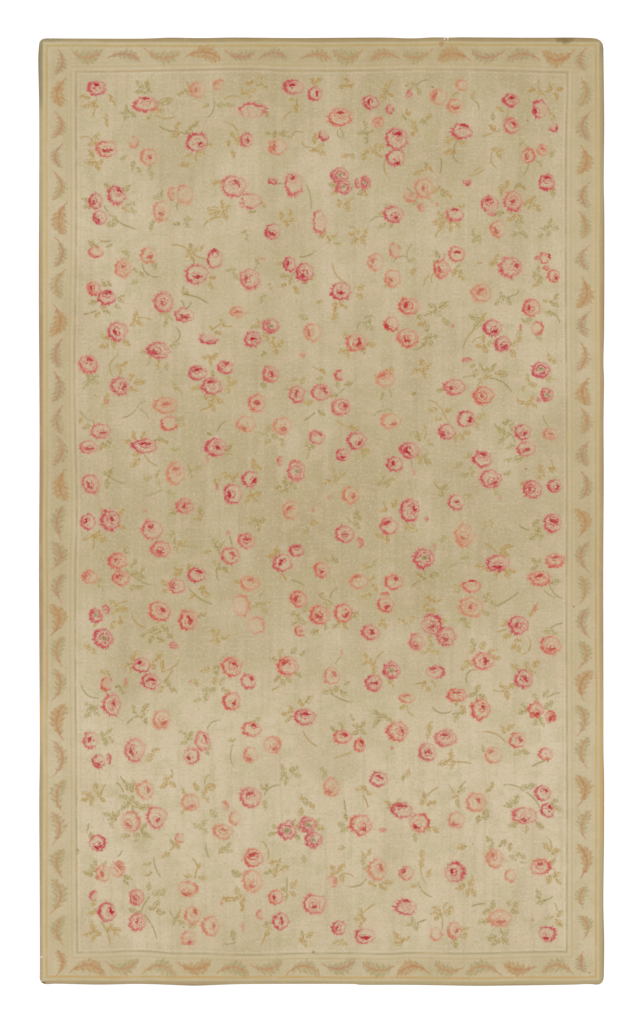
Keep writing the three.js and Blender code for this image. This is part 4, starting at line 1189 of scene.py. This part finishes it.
# How the inner line wanders, as (share of the frame, share of ten squares)
LINE_LEFT = [
    (0, 0.55), (0.1, 0.55), (0.22, 0.57), (0.3, 0.47), (0.36, 0.41), (0.42, 0.47), (0.5, 0.63),
    (0.56, 0.49), (0.66, 0.49), (0.74, 0.57), (0.85, 0.6), (0.93, 0.68), (1, 0.7),
]
LINE_RIGHT = [
    (0, 0.50), (0.08, 0.50), (0.14, 0.38), (0.3, 0.36), (0.4, 0.44), (0.5, 0.46),
    (0.6, 0.42), (0.7, 0.46), (0.8, 0.48), (0.9, 0.46), (1, 0.46),
]
LINE_TOP = [
    (0, 0.50), (0.1, 0.52), (0.14, 0.45), (0.2, 0.33), (0.24, 0.27), (0.28, 0.41), (0.33, 0.43),
    (0.37, 0.38), (0.4, 0.30), (0.46, 0.34), (0.5, 0.44), (0.55, 0.57), (1, 0.57),
]
LINE_BOTTOM = [
    (0, 0.4), (0.1, 0.4), (0.13, 0.26), (0.17, 0.5), (0.2, 0.52), (0.235, 0.66), (0.3, 0.5),
    (0.34, 0.5), (0.38, 0.56), (0.4, 0.45), (0.45, 0.52), (0.54, 0.34), (1, 0.34),
]


def stripes_group():
    """The guard band at the edge, the ochre stripe, the border's ground and the thin inner line"""
    group, given, end = new_group("border stripes", OVER_CLOTH, COLOUR_OUT)
    x, y = chart_place(given["Place"])
    sway = noise(group, together(group, x * 0.012, y * 0.012, 4), 1.0, 1)[1]
    sway_x, sway_y, _ = apart(sway)
    inside = frame_stripe(x + (sway_x - 0.5) * 2.2, y + (sway_y - 0.5) * 2.6, *OUTER_FRAME)

    # The inner line wanders more than the others, so each side has its own curve
    down = y * (1 / FRAME_SQUARES)
    over = x * (1 / FRAME_SQUARES)
    curves = [(down, LINE_LEFT), (over, LINE_TOP), (down, LINE_RIGHT), (over, LINE_BOTTOM)]
    inner_frame = [
        start + 10 * wander(group, along, line)
        for start, (along, line) in zip(INNER_FRAME, curves)
    ]
    inner = frame_stripe(x, y, *inner_frame)

    patchy, patches = noise(group, together(group, x * 0.05, y * 0.05, 7), 1.0, 1)
    worn = patchy.rise(0.34, 0.56)
    _, rosier, _ = apart(patches)
    border = mix(group, 0.26 + 0.24 * patchy, given["Under"], shown_colour(190, 172, 131))
    colour = mix(group, inner.rise(0.6, -0.6), given["Under"], border)
    for out, wide, strong, tone in INNER_STRIPES:
        colour = mix(group, (inner + out).stroke(wide) * strong, colour, shown_colour(*tone))
    line = mix(group, down.rise(0.60, 0.72), shown_colour(176, 153, 118), shown_colour(170, 157, 116))
    line = mix(group, rosier.rise(0.52, 0.66), line, shown_colour(190, 160, 112))
    colour = mix(group, inner.stroke(1.55) * (0.42 + 0.46 * worn), colour, line)

    # The ochre stripe, between two pale ones, then the guard band with its worn, paler patches, and painted
    # shade along its outer edge
    lots = [(row / FRAME_SQUARES, OCHRE_YARNS[yarn]) for row, yarn in OCHRE_LOTS]
    ochre = ramp(group, down + (patchy - 0.5) * 0.06, lots)
    ochre_from = inside - (7.9 - 0.6 * over.rise(0.15, 0.45))
    colour = mix(group, (ochre_from - 2.6).stroke(1.5) * 0.25, colour, shown_colour(206, 190, 152))
    colour = mix(group, ochre_from.stroke(1.75) * (0.62 + 0.36 * worn), colour, ochre)
    colour = mix(group, (ochre_from + 2.4).stroke(1.7) * 0.55, colour, shown_colour(196, 183, 143))
    guard_drift = noise(group, together(group, x * 0.010, y * 0.02, 1), 1.0, 2)[0]
    guard_along = down + (guard_drift - 0.5) * 0.04
    sides = [
        ramp(group, guard_along, [(row / FRAME_SQUARES, GUARD_YARNS[yarn]) for row, yarn in rows])
        for rows in (LEFT_GUARD, RIGHT_GUARD)
    ]
    guard = mix(group, over.rise(0.2, 0.4), *sides)
    at_top = y.rise(*TOP_GUARD) * over.rise(0.05, 0.08)
    guard = mix(group, at_top, guard, shown_colour(165, 143, 101))
    guard = mix(group, patchy.rise(0.45, 0.7) * 0.22, guard, shown_colour(196, 174, 130))
    colour = mix(group, inside.rise(4.5, 3.3), colour, guard)
    colour = mix(group, (inside - 3.0).stroke(0.8) * 0.14, colour, shown_colour(202, 182, 140))
    # Painted shade: a dark line along the very edge, where the cloth rounds down to the floor
    colour = mix(group, inside.rise(1.5, 0.1) * 0.42, colour, shown_colour(134, 110, 74))
    feed(group, end.inputs["Colour"], colour)
    return group


MOTIF_INPUTS = {"Under": "Color", "Place": "Vector", "Make": "Vector", "Dye": "Color"}


def stem_group():
    """A thin bowed stem, broken here and there. Make holds its length, its bow and 1"""
    group, given, end = new_group("stem", MOTIF_INPUTS, COLOUR_OUT)
    along, across, seed = apart(given["Place"])
    length, bow, present = apart(given["Make"])
    off = across - bow * 4 * along * (1 - along)
    waver = noise(group, together(group, along * length * 0.25, seed * 7.3, off * 0.2), 1.0, 3)[0]
    breaks = waver.rise(0.3, 0.5)
    ends = along.rise(-0.04, 0.06) * along.rise(1.04, 0.9)
    line = (off + (waver - 0.5) * 1.6).stroke(1.5) * (0.42 + 0.48 * breaks) * ends * present
    feed(group, end.inputs["Colour"], mix(group, line, given["Under"], given["Dye"]))
    return group


def leaf_group():
    """A pointed leaf, pale inside, with a ragged rim and darker veins. Make holds its length, 0 and 1"""
    group, given, end = new_group("leaf", MOTIF_INPUTS, COLOUR_OUT)
    along, across, seed = apart(given["Place"])
    length, _, present = apart(given["Make"])
    half_width = length * LEAF_WIDTH
    threads = together(group, along * length * 0.38, across * half_width * 0.38, seed * 5.1)
    grain, steps = noise(group, threads, 1.0, 1)
    step_along, step_across, _ = apart(steps)
    a = along + (step_along - 0.5) * 2.8 / length
    b = across * half_width + (step_across - 0.5) * 2.8
    # Widest nearer its base, and drawn out to a point
    shape = a.most(0.0005).root() * (1 - a).most(0.0005).power(0.72) * 2.25
    in_by = shape * half_width - abs(b)
    body = in_by.rise(-0.7, 0.9) * a.rise(-0.02, 0.04)
    rim = (in_by - 0.3).stroke(1.05) * grain.rise(0.38, 0.54)
    vein = b.stroke(1.05) * a.rise(0.95, 0.6) * a.rise(-0.12, 0.02)
    side_veins = (a * length * 1.9 - abs(b) * 1.5).sine().rise(0.15, 0.95) * in_by.rise(0.2, 1.2)
    shaded = b.rise(-0.4, 1.4) * in_by.rise(0, 1)
    dark = mix(group, 1.0, given["Dye"], (0.82, 0.78, 0.66, 1), "MULTIPLY")
    body = body * present
    dyed = body * (0.20 + 0.24 * grain.rise(0.44, 0.62))
    colour = mix(group, dyed, given["Under"], given["Dye"])
    colour = mix(group, body * grain.rise(0.52, 0.38) * 0.44, colour, shown_colour(214, 197, 158))
    strokes = (rim * 0.54 + vein * 0.62 + side_veins * 0.28 + shaded * 0.08).least(0.9) * present
    feed(group, end.inputs["Colour"], mix(group, strokes * a.rise(-0.12, 0.02), colour, dark))
    return group


def feather_group():
    """A border leaf: a bowed rib and slanting teeth on both sides. Make holds its width, bow and body"""
    inputs = {**MOTIF_INPUTS, "Rib": "Color"}
    group, given, end = new_group("border leaf", inputs, COLOUR_OUT)
    along, across, seed = apart(given["Place"])
    wide, bow, body = apart(given["Make"])
    threads = together(group, along * FEATHER_LENGTH * 0.36, across * 0.36, seed * 3.7)
    grain, steps = noise(group, threads, 1.0, 1)
    step_along, step_across, step_deep = apart(steps)
    broad = noise(group, together(group, along * 3.4, across * 0.10, seed * 1.9), 1.0, 1)[0]
    off = across - bow * 4 * along * (1 - along) + (step_across - 0.5) * 3.4
    a = along + (step_along - 0.5) * 0.10
    blade = ((a - 0.13) * 1.15).most(0).least(1)
    # Wide soon past the stalk, and wide still close to its tip
    swell = blade.power(0.55) * (1 - blade.power(5)) * 1.22
    teeth = (a * 44 - abs(off) * 0.80 + (broad - 0.5) * 5).sine()
    in_by = wide * 0.58 * swell * (0.94 + 0.13 * teeth + 0.5 * (broad - 0.5)) - abs(off)
    filled = in_by.rise(-0.9, 1.3) * blade.rise(0, 0.04)
    hatch = teeth.rise(-0.1, 0.95) * in_by.rise(-1.8, 0.2)
    hatch = hatch * off.stroke(1.0).rise(1, 0) * blade.rise(0, 0.04)
    rib = off.stroke(1.5 + 0.9 * swell) * a.rise(-0.03, 0.05) * a.rise(1.0, 0.82)
    present = body.rise(0, 0.1)
    dark = mix(group, 1.0, given["Dye"], (0.86, 0.82, 0.70, 1), "MULTIPLY")
    dapple = 0.55 + 0.45 * grain.rise(0.36, 0.60)
    colour = mix(group, filled * body * dapple, given["Under"], given["Dye"])
    hatch = hatch * present * (0.60 - 0.38 * body) * step_deep.rise(0.34, 0.56)
    colour = mix(group, hatch, colour, dark)
    colour = mix(group, rib * present * (0.50 + 0.35 * dapple), colour, given["Rib"])
    feed(group, end.inputs["Colour"], colour)
    return group


def rose_group():
    """A rose head: ragged ring, folded petals, heart. Make holds its heavy side, kind and strength"""
    inputs = {**MOTIF_INPUTS, "Heart": "Vector"}
    group, given, end = new_group("rose head", inputs, COLOUR_OUT)
    u, v, seed = apart(given["Place"])
    heavy, kind, present = apart(given["Make"])
    heart_u, heart_v, size = apart(given["Heart"])
    full = kind.rise(0.6, 0.4)
    is_open = kind.rise(1.4, 1.6) * kind.rise(3.6, 3.4)
    eyed = kind.rise(2.4, 2.6) * kind.rise(3.6, 3.4)
    bud = kind.rise(3.4, 3.6)
    folded = kind.rise(1.6, 1.4)
    luck_a, luck_b, luck_c = chances(group, seed)

    # The drawing wavers broadly round the head, and steps from thread to thread
    sway_u, sway_v, _ = apart(noise(group, together(group, u, v, seed * 7.7), 1.25, 1)[1])
    threads = together(group, u * size * 0.40, v * size * 0.40, seed * 3.1)
    step_u, step_v, step_w = apart(noise(group, threads, 1.0, 1)[1])
    pu = u + (sway_u - 0.5) * 0.44 + (step_u - 0.5) * 3.4 / size
    pv = v + (sway_v - 0.5) * 0.44 + (step_v - 0.5) * 3.4 / size
    r = length_of(pu, pv)
    side = 0.5 + 0.5 * (pu * heavy.cosine() + pv * heavy.sine()) / r.most(0.1)
    around = together(group, pu / r.most(0.1) * 1.9, pv / r.most(0.1) * 1.9, seed * 2.3)
    spread = noise(group, around, 1.6, 2)[0]
    beads = noise(group, together(group, pu * size * 0.22, pv * size * 0.22, seed * 9.1 + 4), 1.0, 2)[0]
    broken = beads.rise(0.38, 0.54)

    # The ring, scalloped by the outer petals, and a second one here and there inside it
    edge = 0.91 + (spread - 0.5) * (0.40 + 0.30 * is_open)
    from_ring = (r - edge) * size
    ajar = bud * 0.9 + (is_open - eyed) * 0.25 + folded * luck_c.rise(0.5, 1) * 0.45
    gap = 1 - ajar.least(1) * side.rise(0.50, 0.18)
    weight = (0.55 + 0.45 * side) * (0.62 + 0.38 * broken) * gap
    ring = from_ring.stroke(1.05 + 1.45 * side + 0.7 * eyed) * weight
    petals = (from_ring * 1.85 + (luck_b * 0.6 - spread) * 5).sine().rise(0.30, 0.95) * (1 - bud)
    petals = petals * beads.rise(0.44, 0.52) * (r - edge).rise(-0.10, -0.20)
    second = petals * (0.20 + 0.16 * luck_a + 0.36 * full + 0.22 * is_open)

    # Petals: the folds between them, and one that closes round the heart
    between = petal_edges(group, pu * size * 0.21 + seed * 4.3, pv * size * 0.21 + seed * 2.9)
    inside_ring = (r - edge).rise(0.06, -0.05)
    folds = (between * 4.8).rise(1.45, 0.25) * beads.rise(0.55, 0.45) * inside_ring * (1 - bud)
    folds = folds * (0.05 + 0.12 * luck_a + 0.22 * full)
    close = length_of(pu - heart_u * 0.6, pv - heart_v * 0.6)
    closing = ((close - 0.46) * size).stroke(1.3) * beads.rise(0.42, 0.56)
    closing = closing * (0.22 + 0.40 * luck_b + 0.24 * full) * folded

    # The heart: a dark bar that lies along the ring, nearest to it on the heart's side
    far = length_of(heart_u, heart_v).most(0.01)
    out_u = heart_u / far
    out_v = heart_v / far
    heart_x = (u - heart_u) * size + (step_u - 0.5) * 5.0
    heart_y = (v - heart_v) * size + (step_v - 0.5) * 5.0
    along = heart_y * out_u - heart_x * out_v
    outward_by = heart_x * out_u + heart_y * out_v + along * along * 0.06
    small = 0.44 + 0.56 * size.rise(3.0, 9.5) + 0.22 * luck_c
    bar = length_of(outward_by, along * (0.36 + 0.34 * luck_a)).rise(2.4 * small, 1.1 * small)
    hook = (outward_by + 3.2 * small).stroke(1.1) * along.rise(-4.5, -3.0) * along.rise(4.5, 3.0) * folded
    eye = length_of(pu, pv * 1.1).rise(0.44, 0.20) * (0.5 + 0.5 * broken) * eyed
    round_eye = ((length_of(pu, pv) - 0.52) * size).stroke(1.6) * broken * eyed

    # The pink that spreads past the ring, ragged outward
    fringe_end = 1.08 + 1.1 * (spread - 0.40)
    fringe = r.rise(fringe_end + 0.12, 0.90) * (r - edge).rise(-0.10, 0.04) * (0.45 + 0.45 * side) * gap

    cream = (r - edge).rise(0.05, -0.20) * (1 - bud)
    colour = mix(group, cream * present * 0.36, given["Under"], ROSE_CREAM)
    spikes = noise(group, around, 3.4, 0)[0].rise(0.50, 0.60) * r.rise(1.38, 1.02)
    spikes = spikes * (r - edge).rise(-0.02, 0.06)
    spikes = spikes * (0.36 + 0.50 * luck_a) * gap * side.rise(0.1, 0.7)
    blush = (fringe * (0.40 + 0.30 * luck_b) + (from_ring + 1.4).stroke(2.6) * 0.14 * gap +
             bud * r.rise(0.95, 0.45) * 0.42).least(1) * present
    colour = mix(group, blush, colour, mix(group, 0.50, given["Dye"], ROSE_CREAM))
    small_bud = 1 - bud * size.rise(5, 2) * 0.45
    hook = hook * step_w.rise(0.42, 0.55) * 0.85
    lines = (ring + second + folds + closing + round_eye + hook + spikes).least(1)
    colour = mix(group, lines * present * small_bud * 0.90, colour, given["Dye"])
    deep = ring * beads.rise(0.50, 0.60) * side * 0.42
    dark = (bar * folded * (0.80 + 0.20 * broken) + deep + bar * bud * 0.5).least(1)
    deep_dye = mix(group, present.rise(0.5, 1.05) * 0.78, given["Dye"], DEEP_RED)
    colour = mix(group, dark * present * small_bud, colour, deep_dye)
    colour = mix(group, eye * present * 0.85, colour, OPEN_CENTRE)
    feed(group, end.inputs["Colour"], colour)
    return group


# Small marks left on the rug by use, and darker smudges along its top edge
SPECKS = [
    {"x": 432.5, "y": 87, "size": 1.0, "colour": (140, 110, 80)},
    {"x": 527.4, "y": 120.5, "size": 1.0, "colour": (140, 110, 80)},
    {"x": 183.6, "y": 927, "size": 1.0, "colour": (150, 120, 90)},
    {"x": 313.5, "y": 952, "size": 1.6, "colour": (150, 128, 92)},
    {"x": 472.6, "y": 844, "size": 1.0, "colour": (150, 120, 90)},
    {"x": 94.5, "y": 395, "size": 1.0, "colour": (150, 120, 90)},
    {"x": 526, "y": 469, "size": 1.2, "colour": (180, 90, 80)},
    {"x": 573.8, "y": 606.7, "size": 1.1, "colour": (178, 92, 84)},
    {"x": 589.3, "y": 972.6, "size": 1.0, "colour": (150, 112, 92)},
    # Along the top edge, over its two cockles: darker smudges, and one pale dot
    {"x": 559, "y": 38.6, "size": 4.4, "colour": (140, 116, 76)},
    {"x": 565, "y": 39.2, "size": 5.6, "colour": (132, 108, 70)},
    {"x": 571, "y": 38.6, "size": 4.2, "colour": (142, 118, 78)},
    {"x": 441.5, "y": 44, "size": 3.4, "colour": (176, 142, 92)},
    {"x": 444.5, "y": 39, "size": 1.0, "colour": (228, 220, 206)},
    {"x": 41.4, "y": 957, "size": 1.3, "colour": (226, 216, 202)},
    {"x": 41.9, "y": 980.9, "size": 1.2, "colour": (206, 186, 168)},
    {"x": 42.6, "y": 982.3, "size": 1.0, "colour": (120, 80, 62)},
    {"x": 44.3, "y": 982.9, "size": 1.3, "colour": (96, 62, 46)},
]


def marks_group():
    """Specks, small stains and darker smudges, and the paler places where the wool is worn"""
    group, given, end = new_group("wear and marks", OVER_CLOTH, COLOUR_OUT)
    x, y = chart_place(given["Place"])
    grain = noise(group, together(group, x * 0.5, y * 0.5, 6), 1.0, 1)[0]
    rubbed = noise(group, together(group, x * 0.013, y * 0.013, 11), 1.0, 4)[0].rise(0.52, 0.72)
    scuffs = rubbed * grain.rise(0.35, 0.65) * 0.30
    colour = mix(group, scuffs, given["Under"], shown_colour(204, 188, 152))
    for speck in SPECKS:
        size = speck["size"]
        away = length_of(x - speck["x"], y - speck["y"]) + (grain - 0.5) * size
        spot = away.rise(size * 1.25, size * 0.35) * 0.85
        colour = mix(group, spot, colour, shown_colour(*speck["colour"]))
    feed(group, end.inputs["Colour"], colour)
    return group


def weave_group():
    """The tapestry weave: round ribs over the warps, and the weft's fine threads that cover them"""
    outputs = {"Shade": "Float", "Height": "Float"}
    group, given, end = new_group("tapestry weave", {"Place": "Vector"}, outputs)
    x, y, _ = apart(given["Place"])
    uneven = noise(group, given["Place"], 30.0, 2)[0]
    row = y * (2 * math.pi / WARP_PITCH) + (uneven - 0.5) * 22
    rib = abs((row * 0.5).sine())
    odd = (row * 0.5).cosine().rise(-0.15, 0.15)
    pick = x * (math.pi / WEFT_PITCH) + odd * (math.pi / 2) + (uneven - 0.5) * 14
    thread = abs(pick.sine())
    fuzz = noise(group, given["Place"], 900.0, 1)[0]
    height = rib * 0.55 + thread * rib * 0.22 + (fuzz - 0.5) * 0.25
    feed(group, end.inputs["Height"], height)
    # Shade is painted shade: darker in the grooves between ribs and threads, lighter on their crests, with
    # some random fuzz
    feed(group, end.inputs["Shade"], 0.93 + 0.05 * rib + 0.02 * thread + (fuzz - 0.5) * 0.12)
    return group


def attribute(tree, name, colour=False):
    """A named attribute of the mesh, as a vector or a colour"""
    node = tree.nodes.new("ShaderNodeAttribute")
    node.attribute_name = name
    return Field(tree, node.outputs["Color" if colour else "Vector"])


def woven_wool():
    """The rug's wool: every layer of the design over the ground, in a matt, ribbed weave"""
    wool = bpy.data.materials.new("woven_wool")
    wool.use_nodes = True
    tree = wool.node_tree
    shader = tree.nodes["Principled BSDF"]
    spot = tree.nodes.new("ShaderNodeTexCoord")
    place = Field(tree, spot.outputs["Object"])
    colour = place_group(tree, ground_group(), Place=place)["Colour"]
    colour = place_group(tree, stripes_group(), Place=place, Under=colour)["Colour"]
    drawn = {"feather": feather_group(), "stem": stem_group(), "leaf": leaf_group(), "rose": rose_group()}
    for layer, group in drawn.items():
        terms = {
            "Under": colour,
            "Place": attribute(tree, f"{layer}_place"),
            "Make": attribute(tree, f"{layer}_make"),
            "Dye": attribute(tree, f"{layer}_dye", colour=True),
        }
        if layer == "feather":
            terms["Rib"] = attribute(tree, "feather_rib", colour=True)
        if layer == "rose":
            terms["Heart"] = attribute(tree, "rose_heart")
        colour = place_group(tree, group, **terms)["Colour"]
    colour = place_group(tree, marks_group(), Place=place, Under=colour)["Colour"]
    weave = place_group(tree, weave_group(), Place=place)
    # The weave's painted shade, multiplied into the colour
    shade = together(tree, weave["Shade"], weave["Shade"], weave["Shade"])
    feed(tree, shader.inputs["Base Color"], mix(tree, 1.0, colour, shade, "MULTIPLY"))
    bump = tree.nodes.new("ShaderNodeBump")
    bump.inputs["Strength"].default_value = 0.7
    bump.inputs["Distance"].default_value = 0.001
    feed(tree, bump.inputs["Height"], weave["Height"])
    tree.links.new(bump.outputs["Normal"], shader.inputs["Normal"])
    feed(tree, shader.inputs["Roughness"], 0.86 + 0.10 * weave["Height"])
    shader.inputs["Specular IOR Level"].default_value = 0.18
    shader.inputs["Sheen Weight"].default_value = 0.08
    shader.inputs["Sheen Roughness"].default_value = 0.6
    return wool


# The weft's turns: where each pass of weft goes back round the outermost warp, it shows as a
# small round loop on the selvage.


def weft_turn_tree():
    """Geometry Nodes: round loops of yarn along a line, evenly spaced, each a little different"""
    tree = bpy.data.node_groups.new("weft turns", "GeometryNodeTree")
    sockets = {
        "Pitch": "Float", "Thickness": "Float", "Unevenness": "Float", "Seed": "Int", "Wool": "Material",
    }
    tree.interface.new_socket(name="Line", in_out="INPUT", socket_type="NodeSocketGeometry")
    for label, kind in sockets.items():
        tree.interface.new_socket(name=label, in_out="INPUT", socket_type=f"NodeSocket{kind}")
    tree.interface.new_socket(name="Loops", in_out="OUTPUT", socket_type="NodeSocketGeometry")
    entry = tree.nodes.new("NodeGroupInput").outputs

    def add(kind, terms, **settings):
        """The outputs of a new node, with its inputs set to numbers or linked to sockets"""
        node = tree.nodes.new(kind)
        for setting, value in settings.items():
            setattr(node, setting, value)
        for slot, term in terms.items():
            if isinstance(term, bpy.types.NodeSocket):
                tree.links.new(term, node.inputs[slot])
            else:
                node.inputs[slot].default_value = term
        return node.outputs

    line = add("GeometryNodeMeshToCurve", {"Mesh": entry["Line"]})
    terms = {"Curve": line["Curve"], "Length": entry["Pitch"]}
    spots = add("GeometryNodeCurveToPoints", terms, mode="LENGTH")
    loop = add("GeometryNodeMeshUVSphere", {"Segments": 6, "Rings": 4, "Radius": 0.5})
    across = add("ShaderNodeMath", {0: entry["Pitch"], 1: 0.92}, operation="MULTIPLY")
    thick = entry["Thickness"]
    size = add("ShaderNodeCombineXYZ", {"X": thick, "Y": thick, "Z": across[0]})
    smaller = add("ShaderNodeMath", {0: 1, 1: entry["Unevenness"]}, operation="SUBTRACT")
    least, most = 2, 3
    terms = {least: smaller[0], most: 1, "Seed": entry["Seed"]}
    uneven = add("FunctionNodeRandomValue", terms, data_type="FLOAT")
    scale = add("ShaderNodeVectorMath", {0: size["Vector"], "Scale": uneven[1]}, operation="SCALE")
    loops = add("GeometryNodeInstanceOnPoints", {
        "Points": spots["Points"],
        "Instance": loop["Mesh"],
        "Rotation": spots["Rotation"],
        "Scale": scale["Vector"],
    })
    real = add("GeometryNodeRealizeInstances", {"Geometry": loops["Instances"]})
    finish = add("GeometryNodeSetMaterial", {"Geometry": real["Geometry"], "Material": entry["Wool"]})
    add("NodeGroupOutput", {"Loops": finish["Geometry"]})
    return tree


def grown(name, tree, line, **values):
    """A plain mesh of what the tree makes along a closed line of points"""
    path = bpy.data.meshes.new(name)
    count = len(line)
    path.from_pydata([tuple(p) for p in line], [(i, (i + 1) % count) for i in range(count)], [])
    holder = bpy.data.objects.new(name, path)
    bpy.context.collection.objects.link(holder)
    modifier = holder.modifiers.new(name, "NODES")
    modifier.node_group = tree
    for item in tree.interface.items_tree:
        if item.item_type == "SOCKET" and item.name in values:
            modifier[item.identifier] = values[item.name]
    bpy.context.view_layer.update()
    made = bpy.data.meshes.new_from_object(holder.evaluated_get(bpy.context.evaluated_depsgraph_get()))
    holder.modifiers.clear()
    holder.data = made
    made.name = name
    return holder


def selvage_turns(outline, wool):
    """The loops of weft all the way round the selvage, as one piece"""
    inset = outline - outward(outline) * TURN_INSET
    line = np.column_stack([inset, lift(inset) + THICKNESS / 2])
    turns = grown(
        "selvage_turns", weft_turn_tree(), line,
        Pitch=TURN_PITCH, Thickness=TURN_THICKNESS, Unevenness=TURN_UNEVENNESS, Seed=TURN_SEED,
        Wool=wool,
    )
    turns.data.polygons.foreach_set("use_smooth", np.ones(len(turns.data.polygons), bool))
    return turns


# The floor, light and camera


def studio():
    """A plain pale floor, an even white sky and one soft window"""
    world = bpy.data.worlds.new("studio")
    bpy.context.scene.world = world
    world.use_nodes = True
    sky = world.node_tree.nodes["Background"]
    sky.inputs["Color"].default_value = (1, 1, 1, 1)
    sky.inputs["Strength"].default_value = SKY_STRENGTH

    mesh = bpy.data.meshes.new("floor")
    corners = [(-1, -1), (1, -1), (1, 1), (-1, 1)]
    mesh.from_pydata([(x * FLOOR_REACH, y * FLOOR_REACH, 0) for x, y in corners], [], [(0, 1, 2, 3)])
    floor = bpy.data.objects.new("floor", mesh)
    floor.location.z = -FLOOR_DROP
    bpy.context.collection.objects.link(floor)
    white = bpy.data.materials.new("white_floor")
    white.use_nodes = True
    shader = white.node_tree.nodes["Principled BSDF"]
    shader.inputs["Base Color"].default_value = (FLOOR_WHITE, FLOOR_WHITE, FLOOR_WHITE, 1)
    shader.inputs["Roughness"].default_value = 0.9
    shader.inputs["Emission Color"].default_value = (1, 1, 1, 1)
    shader.inputs["Emission Strength"].default_value = FLOOR_GLOW
    mesh.materials.append(white)

    light = bpy.data.lights.new("window", "SUN")
    light.energy = WINDOW_STRENGTH
    light.angle = math.radians(WINDOW_SOFTNESS)
    lamp = bpy.data.objects.new("window", light)
    lamp.location = WINDOW_PLACE
    lamp.rotation_euler = (-lamp.location).to_track_quat("-Z", "Y").to_euler()
    bpy.context.collection.objects.link(lamp)


def camera():
    """The camera straight above the rug, as far up as it takes to see the frame's whole height"""
    data = bpy.data.cameras.new("camera")
    data.lens = CAMERA_LENS
    data.sensor_width = CAMERA_SENSOR
    data.clip_end = 100
    height = FRAME_SQUARES * CHART_SQUARE * CAMERA_LENS / CAMERA_SENSOR
    held = bpy.data.objects.new("camera", data)
    middle = on_cloth(FRAME_MIDDLE_X, FRAME_MIDDLE_Y)
    held.location = (middle[0], middle[1], height + THICKNESS)
    bpy.context.collection.objects.link(held)
    bpy.context.scene.camera = held
    bpy.context.scene.view_settings.view_transform = "Standard"


camera()
studio()
wool = woven_wool()
outline = rug_outline()
cloth = rug_cloth(outline, wool)
turns = selvage_turns(outline, wool)
for piece in (cloth, turns):
    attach(piece, "root")
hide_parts("rug")
